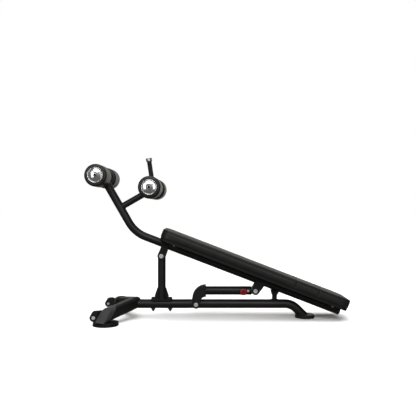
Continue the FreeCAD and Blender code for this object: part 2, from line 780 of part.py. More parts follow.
def saddle_screw_places():
    places = []
    for u in SADDLE_U:
        for side in (-1, 1):
            places.append((u, side * (SADDLE_REACH - SCREW_INSET)))
    return places


def pad_saddle(u):
    """The left one of the two angle brackets that hold the board to the rail."""
    face = RAIL_D / 2 + SADDLE_GAP
    top = RAIL_D / 2 + BOARD_GAP
    u0 = u - SADDLE_L / 2
    u1 = u + SADDLE_L / 2
    cheek = box(u0, u1, -face - SADDLE_T, -face, 2, top)
    ear = box(u0, u1, -SADDLE_REACH, -face, top - SADDLE_T, top)
    bracket = cheek.fuse(ear)
    bracket = bracket.cut(cross_rod(SADDLE_HOLE_R, u, SADDLE_BOLT_W, -100, 0))
    screw_y = SCREW_INSET - SADDLE_REACH
    return bracket.cut(post(SCREW_R + 0.2, u, screw_y, 0, 100)).removeSplitter()


def saddle_bolt(u):
    outside = RAIL_D / 2 + SADDLE_GAP + SADDLE_T
    return cross_bolt(u, SADDLE_BOLT_W, SADDLE_BOLT_R, 6.2, 4, -outside, outside, 5)


def board_screws():
    top = RAIL_D / 2 + BOARD_GAP
    screws = []
    for u, y in saddle_screw_places():
        shank = post(SCREW_R, u, y, top - SADDLE_T, top + BOARD_T - 3)
        head = round_head(6, 3, V(u, y, top - SADDLE_T), V(0, 0, -1))
        screws.append(shank.fuse(head))
    return Part.makeCompound(screws)


# ---------------------------------------------------------------- strut

def elbow_outline():
    """The elbow plate rises from the pivot and turns to meet the strut's tube."""
    left = STRUT_X - ELBOW_R
    right = STRUT_X + ELBOW_R
    top = STRUT_AXIS_Z + ELBOW_HALF
    bottom = STRUT_AXIS_Z - ELBOW_HALF
    big = STRUT_START - left
    small = STRUT_START - right
    diagonal = math.sqrt(0.5)
    knee = V(left, 0, top - big)
    big_mid = V(STRUT_START - big * diagonal, 0, top - big + big * diagonal)
    inner_knee = V(right, 0, bottom - small)
    small_mid = V(STRUT_START - small * diagonal, 0, bottom - small + small * diagonal)
    tube_top = V(STRUT_START, 0, top)
    tube_bottom = V(STRUT_START, 0, bottom)
    round_left = V(left, 0, STRUT_Z)
    round_right = V(right, 0, STRUT_Z)
    return Part.Wire([
        Part.makeLine(round_left, knee),
        Part.Arc(knee, big_mid, tube_top).toShape(),
        Part.makeLine(tube_top, tube_bottom),
        Part.Arc(tube_bottom, small_mid, inner_knee).toShape(),
        Part.makeLine(inner_knee, round_right),
        Part.Arc(round_right, V(STRUT_X, 0, STRUT_Z - ELBOW_R), round_left).toShape(),
    ])


def strut_elbow():
    left = extruded_xz(elbow_outline(), -ELBOW_INNER - ELBOW_T, -ELBOW_INNER)
    left = left.cut(cross_rod(STRUT_BOLT_R + RUN_FIT, STRUT_X, STRUT_Z, -100, 0))
    end = box(STRUT_START - ELBOW_END_T, STRUT_START, -ELBOW_INNER, ELBOW_INNER,
              STRUT_AXIS_Z - ELBOW_HALF, STRUT_AXIS_Z + ELBOW_HALF)
    return left.fuse(mirrored(left)).fuse(end).removeSplitter()


def strut_outer_tube():
    start = V(STRUT_START, 0, STRUT_AXIS_Z)
    end = V(STRUT_END, 0, STRUT_AXIS_Z)
    tube = rod(STRUT_D / 2, start, end).cut(rod(STRUT_D / 2 - STRUT_WALL, start, end))
    tube = tube.cut(cross_rod(PIN_R + RUN_FIT, PIN_X, STRUT_AXIS_Z, -60, 0))
    return tube.cut(cross_rod(BUSH_SCREW_R, BUSH_SCREW_X, STRUT_AXIS_Z, -60, 0))


def guide_bush():
    bore_r = STRUT_D / 2 - STRUT_WALL
    start = V(STRUT_END - BUSH_LENGTH, 0, STRUT_AXIS_Z)
    mouth = V(STRUT_END, 0, STRUT_AXIS_Z)
    lip = V(STRUT_END + 3.5, 0, STRUT_AXIS_Z)
    bush = rod(bore_r, start, mouth).fuse(rod(STRUT_D / 2, mouth, lip))
    bush = bush.cut(rod(INNER_D / 2 + RUN_FIT, start, lip))
    bush = bush.cut(cross_rod(PIN_R + RUN_FIT, PIN_X, STRUT_AXIS_Z, -60, 0))
    screw_hole = cross_rod(BUSH_SCREW_R, BUSH_SCREW_X, STRUT_AXIS_Z, -60, 0)
    return bush.cut(screw_hole).removeSplitter()


def bush_screw():
    y_face = -STRUT_D / 2
    shank = cross_rod(BUSH_SCREW_R, BUSH_SCREW_X, STRUT_AXIS_Z, y_face, -INNER_D / 2 - 0.5)
    return shank.fuse(round_head(7, 4, V(BUSH_SCREW_X, y_face, STRUT_AXIS_Z), V(0, -1, 0)))


def pin_housing():
    """The threaded barrel on the side of the strut that guides the locking pin."""
    barrel = cross_rod(11, PIN_X, STRUT_AXIS_Z, -46, -STRUT_D / 2 + 3)
    nut = cross_rod(15, PIN_X, STRUT_AXIS_Z, -34, -STRUT_D / 2 + 3)
    body = barrel.fuse(nut).cut(cross_rod(PIN_R + RUN_FIT, PIN_X, STRUT_AXIS_Z, -60, 0))
    body = body.cut(cross_rod(8, PIN_X, STRUT_AXIS_Z, -44, -30))
    tube = rod(STRUT_D / 2, V(0, 0, STRUT_AXIS_Z), V(300, 0, STRUT_AXIS_Z))
    return body.cut(tube).removeSplitter()


def strut_inner_tube():
    start = V(INNER_START, 0, STRUT_AXIS_Z)
    end = V(INNER_END, 0, STRUT_AXIS_Z)
    tube = rod(INNER_D / 2, start, end).cut(rod(INNER_D / 2 - INNER_WALL, start, end))
    slot = box(PIN_X - PIN_TRAVEL_X - SLOT_END, PIN_X + SLOT_END, -40, 0,
               STRUT_AXIS_Z - SLOT_W / 2, STRUT_AXIS_Z + SLOT_W / 2)
    tube = tube.cut(slot)
    for i in range(PIN_HOLES):
        x = PIN_X - PIN_TRAVEL_X * i / (PIN_HOLES - 1)
        tube = tube.cut(cross_rod(PIN_HOLE_R, x, STRUT_AXIS_Z, -40, 0))
    return tube


def strut_eye():
    """The solid end of the inner tube, with an oversize hole for the upper bolt."""
    plug = rod(INNER_D / 2 - INNER_WALL, V(INNER_END - EYE_PLUG_L, 0, STRUT_AXIS_Z),
               V(STRUT_TOP_X, 0, STRUT_AXIS_Z))
    eye = cross_rod(EYE_R, STRUT_TOP_X, STRUT_AXIS_Z, -EYE_HALF, EYE_HALF)
    ring = rod(INNER_D / 2, V(INNER_START, 0, STRUT_AXIS_Z), V(INNER_END, 0, STRUT_AXIS_Z))
    ring = ring.cut(rod(INNER_D / 2 - INNER_WALL, V(INNER_START, 0, STRUT_AXIS_Z),
                        V(INNER_END, 0, STRUT_AXIS_Z)))
    body = plug.fuse(eye).cut(ring)
    body = body.cut(cross_rod(EYE_HOLE_R, STRUT_TOP_X, STRUT_AXIS_Z, -100, 100))
    return max(body.Solids, key=lambda s: s.Volume)


def adjust_pin():
    pin = cross_rod(PIN_R, PIN_X, STRUT_AXIS_Z, -66, -14)
    shoulder = cross_rod(7.8, PIN_X, STRUT_AXIS_Z, -32.8, -31)
    return pin.fuse(shoulder)


def pin_spring():
    """The coil that pushes the pin's shoulder towards the tube."""
    turns = 5
    height = 9.4
    helix = Part.makeHelix(height / turns, height, 6.4)
    start = helix.Vertexes[0].Point
    ring = Part.Wire([Part.makeCircle(0.6, start, V(0, 1, 0))])
    coil = Part.Wire(helix.Edges).makePipeShell([ring], True, True)
    coil.rotate(V(0, 0, 0), V(1, 0, 0), 90)
    coil.translate(V(PIN_X, -33.6, STRUT_AXIS_Z))
    return coil


def knob():
    """A mushroom pull knob on the end of the pin."""
    start = KNOB_START
    rows = [(PIN_R, 0), (11, 0), (12.5, 6), (KNOB_R - 0.5, 10)]
    points = [V(r, start - h, 0) for r, h in rows]
    edges = [Part.makeLine(points[i], points[i + 1]) for i in range(3)]
    shoulder = V(KNOB_R - 3.5, start - 23, 0)
    edges.append(Part.Arc(points[3], V(KNOB_R, start - 17, 0), shoulder).toShape())
    rim = V(9, start - 26, 0)
    edges.append(Part.Arc(shoulder, V(12.8, start - 25.2, 0), rim).toShape())
    inner = V(9, start - 24, 0)
    core = V(0, start - 24, 0)
    floor = V(0, start - 17, 0)
    corner = V(PIN_R, start - 17, 0)
    for a, b in ((rim, inner), (inner, core), (core, floor), (floor, corner), (corner, points[0])):
        edges.append(Part.makeLine(a, b))
    body = Part.Face(Part.Wire(edges)).revolve(V(0, 0, 0), V(0, 1, 0), 360)
    body.translate(V(PIN_X, 0, STRUT_AXIS_Z))
    return body


def knob_cap():
    cap = cross_rod(KNOB_CAP_R, PIN_X, STRUT_AXIS_Z, -76.0, -73.0)
    outer = [e for e in cap.Edges if len(e.Vertexes) == 1 and abs(e.CenterOfMass.y + 76) < 0.01]
    return cap.makeFillet(1.2, outer)


# ---------------------------------------------------------------- assembly

def base_nodes():
    nodes = {}
    nodes["main_beam"] = main_beam()
    nodes["front_crossbar"] = crossbar_outer().cut(crossbar_inner())
    nodes["crossbar_end_covers"] = both_sides(leg_end_cover())
    nodes["rear_foot_plate"], nodes["rear_foot_pad"] = rear_foot()
    plate, pad = front_foot()
    nodes["front_foot_plates"] = both_sides(plate)
    nodes["front_foot_pads"] = both_sides(pad)
    nodes["wheel_forks"] = both_sides(wheel_fork())
    nodes["wheel_axles"] = both_sides(wheel_axle())
    nodes["wheel_left"] = wheel()
    nodes["wheel_right"] = mirrored(wheel())
    nodes["column"] = column()
    nodes["column_flange"] = column_flange()
    fin = column_gusset()
    other = fin.mirror(V(PIVOT_X, 0, 0), V(1, 0, 0))
    nodes["column_gussets"] = Part.makeCompound([fin, other])
    nodes["flange_bolts"] = Part.makeCompound([flange_bolts(), flange_nuts()])
    nodes["pivot_bushes"] = Part.makeCompound([pivot_bush(-1), pivot_bush(1)])
    nodes["stop_post"] = stop_post()
    nodes["stop_bumper"] = stop_bumper()
    outside = ELBOW_INNER + ELBOW_T + 0.3
    nodes["strut_pivot_bolt"] = cross_bolt(STRUT_X, STRUT_Z, STRUT_BOLT_R, 12.5, 7,
                                           -outside, outside, 8)
    sleeve = cross_rod(SLEEVE_R, STRUT_X, STRUT_Z, -BEAM_D / 2 - 1, BEAM_D / 2 + 1)
    nodes["strut_pivot_sleeve"] = sleeve.cut(cross_rod(STRUT_BOLT_R, STRUT_X, STRUT_Z, -60, 60))
    return nodes


def rail_nodes():
    foot_axle = arm_point(ARM_LENGTH)
    knee_axle = hub_centre()
    pivot = level_point(PIVOT_X, PIVOT_Z)
    strut_top = level_point(STRUT_TOP_X, STRUT_AXIS_Z)
    nodes = {}
    nodes["rail_tube"] = rail_tube()
    rail_plug = end_plug(V(RAIL_END, 0, 0), V(1, 0, 0), RAIL_D / 2)
    arm_plug = end_plug(arm_point(ARM_LENGTH + ARM_TAIL), arm_direction(), RAIL_D / 2)
    nodes["tube_end_plugs"] = Part.makeCompound([rail_plug, arm_plug])
    nodes["branch_tube"] = branch_tube()
    nodes["branch_hub"] = branch_hub()
    nodes["tilt_lugs"] = tilt_lugs()
    nodes["strut_lugs"] = strut_lugs()
    outside = LUG_INNER + LUG_T
    nodes["tilt_pivot_bolt"] = cross_bolt(pivot.x, pivot.z, PIVOT_BOLT_R, 13.5, 8,
                                          -outside, outside, 10)
    outside = ELBOW_INNER + ELBOW_T
    nodes["strut_top_bolt"] = cross_bolt(strut_top.x, strut_top.z, STRUT_BOLT_R, 13, 7,
                                         -outside, outside, 8)
    collars = []
    caps = []
    for name, centre in (("foot", foot_axle), ("knee", knee_axle)):
        collars += [roller_collar(centre), mirrored(roller_collar(centre))]
        caps += [roller_cap(centre), mirrored(roller_cap(centre))]
        nodes[name + "_roller_axle"] = roller_axle(centre)
        for side, place in (("left", lambda s: s), ("right", mirrored)):
            nodes[name + "_roller_foam_" + side] = place(roller_foam(centre))
            nodes[name + "_roller_core_" + side] = place(roller_core(centre))
    nodes["roller_collars"] = Part.makeCompound(collars)
    nodes["roller_caps"] = Part.makeCompound(caps)
    nodes["handle_post"] = handle_post()
    nodes["handle_grip"] = handle_grip()
    nodes["handle_cap"] = handle_cap()
    nodes["pad_board"] = pad_board()
    nodes["pad_cushion"] = pad_cushion()
    nodes["pad_brackets"] = Part.makeCompound([both_sides(pad_saddle(u)) for u in SADDLE_U])
    nodes["pad_bracket_bolts"] = Part.makeCompound([saddle_bolt(u) for u in SADDLE_U])
    nodes["pad_screws"] = board_screws()
    return {name: tilted(shape) for name, shape in nodes.items()}


def strut_nodes():
    return {
        "strut_elbow": strut_elbow(),
        "strut_outer_tube": strut_outer_tube(),
        "guide_bush": guide_bush(),
        "bush_screw": bush_screw(),
        "pin_housing": pin_housing(),
        "strut_inner_tube": strut_inner_tube(),
        "strut_eye": strut_eye(),
        "adjust_pin": adjust_pin(),
        "pin_spring": pin_spring(),
        "knob": knob(),
        "knob_cap": knob_cap(),
    }


def main():
    nodes = {**base_nodes(), **rail_nodes(), **strut_nodes()}
    bounds = Part.makeCompound(list(nodes.values())).optimalBoundingBox(False, False)
    shift = V(-bounds.Center.x, 0, 0)
    os.makedirs("parts", exist_ok=True)
    for name, shape in nodes.items():
        shape.translate(shift)
        shape.exportStep("parts/" + name + ".step")
    foot_axle = tilted(Part.Vertex(arm_point(ARM_LENGTH))).Point
    knee_axle = tilted(Part.Vertex(hub_centre())).Point
    pivots = {
        "bench_tilt": V(PIVOT_X, 0, PIVOT_Z), "strut_swing": V(STRUT_X, 0, STRUT_Z),
        "strut_top": V(STRUT_TOP_X, 0, STRUT_AXIS_Z), "foot_axle": foot_axle,
        "knee_axle": knee_axle, "wheel": V(WHEEL_X, 0, WHEEL_Z),
        "pin": V(PIN_X, 0, STRUT_AXIS_Z), "rear_foot": V(REAR_FOOT_X, 0, 0),
        "front_foot": V(FRONT_FOOT_X, -FRONT_FOOT_Y, 0),
    }
    for name, point in pivots.items():
        moved = point + shift
        print(name, round(moved.x, 3), round(moved.y, 3), round(moved.z, 3))
    print("nodes", len(nodes), "size", bounds.XLength, bounds.YLength, bounds.ZLength)
    for name, shape in nodes.items():
        if not shape.isValid() or len(shape.Solids) == 0 or shape.Volume <= 0:
            print("unsound", name, shape.ShapeType, shape.Volume)


main()
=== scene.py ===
import json
import math

import bmesh
import bpy
import numpy as np
from mathutils import Matrix, Vector
from mathutils.bvhtree import BVHTree
from mathutils.noise import noise


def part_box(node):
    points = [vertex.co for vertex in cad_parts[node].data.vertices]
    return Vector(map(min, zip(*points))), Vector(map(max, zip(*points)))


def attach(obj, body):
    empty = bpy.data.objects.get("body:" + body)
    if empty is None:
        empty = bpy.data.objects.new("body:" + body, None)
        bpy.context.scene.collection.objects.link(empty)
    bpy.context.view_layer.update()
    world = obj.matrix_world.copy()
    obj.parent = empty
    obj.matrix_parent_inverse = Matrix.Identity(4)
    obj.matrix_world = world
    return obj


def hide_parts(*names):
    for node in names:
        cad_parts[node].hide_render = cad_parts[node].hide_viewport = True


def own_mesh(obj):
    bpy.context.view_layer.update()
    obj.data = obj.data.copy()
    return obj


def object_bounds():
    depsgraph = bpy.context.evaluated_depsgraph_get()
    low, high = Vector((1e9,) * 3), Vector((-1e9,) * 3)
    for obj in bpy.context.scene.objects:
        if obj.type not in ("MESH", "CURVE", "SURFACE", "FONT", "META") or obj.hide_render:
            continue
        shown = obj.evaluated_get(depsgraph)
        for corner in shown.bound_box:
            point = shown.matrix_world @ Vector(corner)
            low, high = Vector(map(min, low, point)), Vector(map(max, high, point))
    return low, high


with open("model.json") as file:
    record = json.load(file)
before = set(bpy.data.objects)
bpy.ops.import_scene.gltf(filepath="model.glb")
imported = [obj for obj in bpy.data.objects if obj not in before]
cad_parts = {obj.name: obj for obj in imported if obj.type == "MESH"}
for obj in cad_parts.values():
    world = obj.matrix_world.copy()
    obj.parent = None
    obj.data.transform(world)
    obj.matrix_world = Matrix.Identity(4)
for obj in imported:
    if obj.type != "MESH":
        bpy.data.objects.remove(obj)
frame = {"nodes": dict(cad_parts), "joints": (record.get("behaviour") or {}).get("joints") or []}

CAD_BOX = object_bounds()
NODES = frame["nodes"]
SCENE = bpy.context.scene
MM = 0.001
UP = Vector((0, 0, 1))
ACROSS = Vector((0, 1, 0))

# Camera
CAMERA_PLACE = (-0.0681, -3.5, 0.662)
CAMERA_LENS = 50.0

# Pad
PAD_CORNER = 50 * MM          # radius of the pad's corners, seen from above
PAD_EDGE = 7 * MM             # rounding of the top edge
PAD_FOOT_EDGE = 5 * MM        # rounding of the bottom edge
PAD_GRID = 9 * MM
PAD_SHRINK = 1.5 * MM         # the skin starts this much inside the CAD solid and swells back
SIDE_SWELL = 2.6 * MM         # the most that the sides may swell
TOP_SWELL = 5.0 * MM
SIDE_SEAM_DEPTH = 13 * MM     # below the top of the pad
TOP_SEAM_INSET = 17 * MM      # inside the pad's outline
CROSS_SEAMS = (342 * MM, 199 * MM)   # from the low end of the pad
SEAM_HALF_WIDTH = 3.2 * MM
STITCH_PITCH = 6.0 * MM
STITCH_LENGTH = 4.2 * MM
STITCH_RADIUS = 0.45 * MM
STITCH_OFFSET = 4.6 * MM      # of each stitch row from its seam
WRAP_INSET = 4 * MM           # of the turned vinyl from the board's edge
WRAP_WIDTH = 24 * MM
STAPLE_PITCH = 38 * MM
STAPLE_INSET = 18 * MM
STAPLE_HALF = 5 * MM
STAPLE_LEG = 1.4 * MM
STAPLE_WIRE = 0.45 * MM

# Cloth simulation
CLOTH_PRESSURE = 4.0
CLOTH_FRAMES = 20

# Foam rollers
ROLLER_EDGE = 13 * MM
ROLLER_SHRINK = 2.0 * MM
ROLLER_SIDES = 96
ROLLER_SWELL = 5.0 * MM
CAP_RADIUS = 45 * MM
CAP_HOLE_SHADE_RADIUS = 7 * MM             # radius of the painted shade in the middle of a cap, standing in for its pin hole
CAP_GAP = 0.6 * MM            # between a roller's face and its cap

# Knob and grip
KNOB_LOBES = 6
KNOB_LOBE_DEPTH = 0.055       # as a share of the radius
RIB_PITCH = 5 * MM
RIB_RADIUS = 14.4 * MM
RIB_GROOVE = 13.2 * MM

# Spring of the locking pin
SPRING_WIRE = 0.6 * MM
SPRING_TURNS = 5

# Steel tubes and welds
HANDLE_RADIUS = 12 * MM
POST_FOOT_RADIUS = 20 * MM
BEAD_RADIUS = 2.3 * MM
BEAD_RIPPLE = 0.35 * MM
BEAD_PITCH = 3.2 * MM


# ---------------------------------------------------------------- meshes

def new_piece(name, points, faces, smooth=True):
    mesh = bpy.data.meshes.new(name)
    mesh.from_pydata([tuple(p) for p in points], [], faces)
    mesh.validate()
    piece = bpy.data.objects.new(name, mesh)
    SCENE.collection.objects.link(piece)
    tidy_normals(mesh)
    for polygon in mesh.polygons:
        polygon.use_smooth = smooth
    return piece


def tidy_normals(mesh):
    work = bmesh.new()
    work.from_mesh(mesh)
    bmesh.ops.remove_doubles(work, verts=work.verts, dist=1e-6)
    bmesh.ops.recalc_face_normals(work, faces=work.faces)
    work.to_mesh(mesh)
    work.free()


def join_parts(parts):
    """Points and faces of several part meshes as one list of points and one of faces."""
    points, faces = [], []
    for part_points, part_faces in parts:
        base = len(points)
        points += part_points
        faces += [[base + i for i in face] for face in part_faces]
    return points, faces


def frame_of(direction):
    """Two unit vectors square to a direction and to each other."""
    direction = direction.normalized()
    guide = UP if abs(direction.z) < 0.9 else Vector((1, 0, 0))
    side = direction.cross(guide).normalized()
    return side, direction.cross(side).normalized()


def lathe(profile, sides, centre, direction):
    """Turns a profile of (radius, height) pairs about an axis."""
    side, other = frame_of(direction)
    axis = direction.normalized()
    points, faces = [], []
    for radius, height in profile:
        for k in range(sides):
            angle = 2 * math.pi * k / sides
            spoke = side * math.cos(angle) + other * math.sin(angle)
            points.append(centre + axis * height + spoke * radius)
    rows = len(profile)
    for row in range(rows - 1):
        for k in range(sides):
            after = (k + 1) % sides
            faces.append([row * sides + k, row * sides + after,
                          (row + 1) * sides + after, (row + 1) * sides + k])
    if profile[0][0] > 1e-5:
        faces.append([k for k in range(sides)])
    if profile[-1][0] > 1e-5:
        faces.append([(rows - 1) * sides + k for k in range(sides)])
    return points, faces


def arc_points(centre, radius, start, end, steps):
    """Points of a circular arc in a profile's (radius, height) plane, angles in degrees."""
    found = []
    for i in range(steps + 1):
        angle = math.radians(start + (end - start) * i / steps)
        found.append((centre[0] + radius * math.cos(angle), centre[1] + radius * math.sin(angle)))
    return found


def tube_along(points, radius_at, sides, closed):
    """A round bead along a list of points; radius_at gives the radius at a length along it."""
    count = len(points)
    spots, faces = [], []
    travelled = 0.0
    for i, here in enumerate(points):
        before = points[i - 1] if (i or closed) else here
        after = points[(i + 1) % count] if (i < count - 1 or closed) else here
        side, other = frame_of(after - before)
        if i:
            travelled += (here - points[i - 1]).length
        radius = radius_at(travelled)
        for k in range(sides):
            angle = 2 * math.pi * k / sides
            spots.append(here + side * (radius * math.cos(angle)) + other * (radius * math.sin(angle)))
    for i in range(count if closed else count - 1):
        j = (i + 1) % count
        for k in range(sides):
            after = (k + 1) % sides
            faces.append([i * sides + k, i * sides + after, j * sides + after, j * sides + k])
    if not closed:
        faces.append(list(range(sides)))
        faces.append([(count - 1) * sides + k for k in range(sides)])
    return spots, faces


def node_points(node):
    return [v.co.copy() for v in NODES[node].data.vertices]


def centre_of(node):
    low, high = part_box(node)
    return (low + high) / 2


# ---------------------------------------------------------------- places taken from the frame

TILT_JOINT = next(j for j in frame["joints"] if j["name"] == "bench_tilt")
TILT = math.radians(max(TILT_JOINT["range_deg"]))   # the rail slopes by this much at rest
TO_LEVEL = Matrix.Rotation(-TILT, 3, "Y")
TO_BENCH = Matrix.Rotation(TILT, 3, "Y")


def level_box(node):
    """A node's lowest and highest corner after the rail's slope is taken out."""
    points = [TO_LEVEL @ p for p in node_points(node)]
    low = Vector([min(p[i] for p in points) for i in range(3)])
    high = Vector([max(p[i] for p in points) for i in range(3)])
    return low, high


def swell(piece, held, limits):
    """Blows a closed skin up by cloth simulation around the held points; limits cap each move."""
    rest = [v.co.copy() for v in piece.data.vertices]
    group = piece.vertex_groups.new(name="held")
    group.add(held, 1.0, "REPLACE")
    cloth = piece.modifiers.new("Cloth", "CLOTH")
    cloth.settings.vertex_group_mass = group.name
    cloth.settings.quality = 5
    cloth.settings.mass = 0.3
    cloth.settings.tension_stiffness = 18
    cloth.settings.compression_stiffness = 18
    cloth.settings.bending_stiffness = 2.0
    cloth.settings.use_pressure = True
    cloth.settings.uniform_pressure_force = CLOTH_PRESSURE
    cloth.settings.effector_weights.gravity = 0
    cloth.collision_settings.use_collision = False
    cloth.collision_settings.use_self_collision = False
    cloth.point_cache.frame_start = 1
    cloth.point_cache.frame_end = CLOTH_FRAMES
    for number in range(1, CLOTH_FRAMES + 1):
        SCENE.frame_set(number)
    solved = piece.evaluated_get(bpy.context.evaluated_depsgraph_get()).to_mesh()
    swollen = [v.co.copy() for v in solved.vertices]
    piece.modifiers.remove(cloth)
    piece.vertex_groups.remove(group)
    SCENE.frame_set(1)
    for vertex, start, end, most in zip(piece.data.vertices, rest, swollen, limits):
        move = end - start
        if move.length > most:
            move *= most / move.length
        vertex.co = start + move
    piece.data.update()


def subdivide_once(piece):
    modifier = piece.modifiers.new("Subdivision", "SUBSURF")
    modifier.levels = 1
    modifier.render_levels = 1
    solved = piece.evaluated_get(bpy.context.evaluated_depsgraph_get())
    fine = bpy.data.meshes.new_from_object(solved)
    piece.modifiers.remove(modifier)
    old = piece.data
    piece.data = fine
    bpy.data.meshes.remove(old)
    for polygon in fine.polygons:
        polygon.use_smooth = True


# ---------------------------------------------------------------- materials

class Finish:
    """A small builder for a node material around one Principled shader."""

    def __init__(self, name):
        self.material = bpy.data.materials.new(name)
        self.material.use_nodes = True
        self.tree = self.material.node_tree
        self.shader = self.tree.nodes["Principled BSDF"]
        self.place = self.add("ShaderNodeTexCoord").outputs["Object"]

    def add(self, kind, **settings):
        node = self.tree.nodes.new(kind)
        for key, value in settings.items():
            setattr(node, key, value)
        return node

    def link(self, source, target):
        self.tree.links.new(source, target)

    def scaled(self, stretch):
        node = self.add("ShaderNodeMapping")
        node.inputs["Scale"].default_value = stretch
        self.link(self.place, node.inputs["Vector"])
        return node.outputs["Vector"]

    def noise(self, scale, detail=3.0, roughness=0.5, place=None):
        node = self.add("ShaderNodeTexNoise")
        node.inputs["Scale"].default_value = scale
        node.inputs["Detail"].default_value = detail
        node.inputs["Roughness"].default_value = roughness
        self.link(place or self.place, node.inputs["Vector"])
        return node.outputs["Fac"]

    def cells(self, scale, feature="F1", place=None):
        node = self.add("ShaderNodeTexVoronoi", feature=feature)
        node.inputs["Scale"].default_value = scale
        self.link(place or self.place, node.inputs["Vector"])
        return node.outputs["Distance"]

    def spread(self, value, low, high, to_low, to_high):
        node = self.add("ShaderNodeMapRange")
        for key, number in (("From Min", low), ("From Max", high), ("To Min", to_low), ("To Max", to_high)):
            node.inputs[key].default_value = number
        self.link(value, node.inputs["Value"])
        return node.outputs["Result"]

    def blend(self, value, first, second, low=0.35, high=0.65):
        """A colour that runs between two as a value runs from low to high."""
        ramp = self.add("ShaderNodeValToRGB")
        ramp.color_ramp.elements[0].position = low
        ramp.color_ramp.elements[0].color = (*first, 1)
        ramp.color_ramp.elements[1].position = high
        ramp.color_ramp.elements[1].color = (*second, 1)
        self.link(value, ramp.inputs["Fac"])
        return ramp.outputs["Color"]

    def over(self, factor, under, upper):
        """The upper colour laid over the lower one by a factor."""
        node = self.add("ShaderNodeMix", data_type="RGBA")
        self.link(factor, node.inputs["Factor"])
        self.link(under, node.inputs["A"])
        node.inputs["B"].default_value = (*upper, 1)
        return node.outputs["Result"]

    def colour(self, source):
        self.link(source, self.shader.inputs["Base Color"])

    def rough(self, value, low, high):
        self.link(self.spread(value, 0.3, 0.7, low, high), self.shader.inputs["Roughness"])

    def relief(self, *layers):
        """Bump layers, each (height, strength, depth in metres), the coarse ones first."""
        normal = None
        for height, strength, depth in layers:
            node = self.add("ShaderNodeBump")
            node.inputs["Strength"].default_value = strength
            node.inputs["Distance"].default_value = depth
            self.link(height, node.inputs["Height"])
            if normal:
                self.link(normal, node.inputs["Normal"])
            normal = node.outputs["Normal"]
        self.link(normal, self.shader.inputs["Normal"])

    def set(self, **values):
        for key, value in values.items():
            self.shader.inputs[key.replace("_", " ")].default_value = value
        return self


def powder_coat(name, dark, light):
    """Satin powder coat: a fine orange peel, slow drifts of tone and a little rubbed dust."""
    f = Finish(name)
    peel = f.noise(620, 2.0)
    drift = f.noise(7, 3.0)
    dust = f.spread(f.noise(38, 6.0, 0.7), 0.62, 0.8, 0.0, 0.35)
    f.colour(f.over(dust, f.blend(drift, dark, light), tuple(3.0 * c for c in light)))
    f.rough(f.noise(24, 4.0), 0.36, 0.47)
    f.relief((f.noise(60, 2.0), 0.06, 0.0008), (peel, 0.16, 0.0004))
    f.set(Specular_IOR_Level=0.36)
    return f.material


def upholstery():
    """Vinyl with a leather grain: rounded cells, finer pores and soft crease lines, whose hollows are
    coloured darker as painted shade.
    """
    f = Finish("black_vinyl")
    cells = f.cells(520)
    pores = f.noise(1500, 2.0)
    crease_relief_and_shade = f.noise(26, 5.0, 0.6)
    # painted shade: the colour follows the crease relief, darker in its hollows
    f.colour(f.blend(crease_relief_and_shade, (0.0075, 0.0075, 0.0077), (0.0120, 0.0119, 0.0118)))
    f.rough(f.noise(90, 4.0), 0.40, 0.54)
    f.relief((crease_relief_and_shade, 0.10, 0.003), (cells, 0.30, 0.0005), (pores, 0.12, 0.0002))
    f.set(Specular_IOR_Level=0.42)
    return f.material


def thread():
    f = Finish("stitch_thread")
    twist_relief_and_shade = f.noise(2600, 1.0)
    # painted shade: the colour follows the twist's relief, darker in its grooves
    f.colour(f.blend(twist_relief_and_shade, (0.010, 0.010, 0.010), (0.032, 0.032, 0.034)))
    f.rough(twist_relief_and_shade, 0.5, 0.7)
    f.relief((twist_relief_and_shade, 0.4, 0.0002))
    return f.material


def foam_skin():
    """Moulded foam with a closed satin skin, fine pits and faint mould swirls."""
    f = Finish("foam_skin")
    pits = f.cells(900)
    swirl = f.noise(18, 5.0, 0.62)
    f.colour(f.blend(swirl, (0.0060, 0.0058, 0.0055), (0.0105, 0.0100, 0.0095)))
    f.rough(f.noise(70, 4.0), 0.33, 0.45)
    f.relief((f.noise(45, 3.0), 0.12, 0.0015), (pits, 0.22, 0.0003))
    f.set(Specular_IOR_Level=0.5)
    return f.material


def turned(f):
    """The distance from the piece's own Y axis, for rings left by turning."""
    flat = f.add("ShaderNodeVectorMath", operation="MULTIPLY")
    flat.inputs[1].default_value = (1, 0, 1)
    f.link(f.place, flat.inputs[0])
    length = f.add("ShaderNodeVectorMath", operation="LENGTH")
    f.link(flat.outputs["Vector"], length.inputs[0])
    return length.outputs["Value"]


def chrome():
    """Spun chrome with faint turning rings, hazy patches and painted shade over its middle, standing in for
    the dark of its pin hole.
    """
    f = Finish("polished_chrome")
    radius = turned(f)
    rings = f.add("ShaderNodeTexNoise", noise_dimensions="1D")
    rings.inputs["Scale"].default_value = 900
    f.link(radius, rings.inputs["W"])
    haze = f.noise(60, 4.0)
    # painted shade: the middle of the cap turns near black in place of the shade inside its pin hole
    hole_shade = f.spread(radius, CAP_HOLE_SHADE_RADIUS, CAP_HOLE_SHADE_RADIUS + 1 * MM, 1.0, 0.0)
    f.colour(f.over(hole_shade, f.blend(haze, (0.60, 0.60, 0.61), (0.70, 0.70, 0.71)), (0.03, 0.03, 0.03)))
    f.rough(haze, 0.12, 0.22)
    f.relief((rings.outputs["Fac"], 0.02, 0.0003))
    tangent = f.add("ShaderNodeTangent", direction_type="RADIAL", axis="Y")
    f.link(tangent.outputs["Tangent"], f.shader.inputs["Tangent"])
    f.set(Metallic=0.92, Anisotropic=0.6)
    return f.material


def bare_metal(name, dark, light, low, high, stretch=(1, 1, 1), grain=400, metallic=1.0):
    """Plated or brushed metal: fine grain, stretched where it is brushed, and dull patches."""
    f = Finish(name)
    lines = f.noise(grain, 3.0, 0.6, f.scaled(stretch))
    patches = f.noise(85, 4.0)
    f.colour(f.blend(patches, dark, light))
    f.rough(patches, low, high)
    f.relief((lines, 0.10, 0.0002))
    f.set(Metallic=metallic)
    return f.material


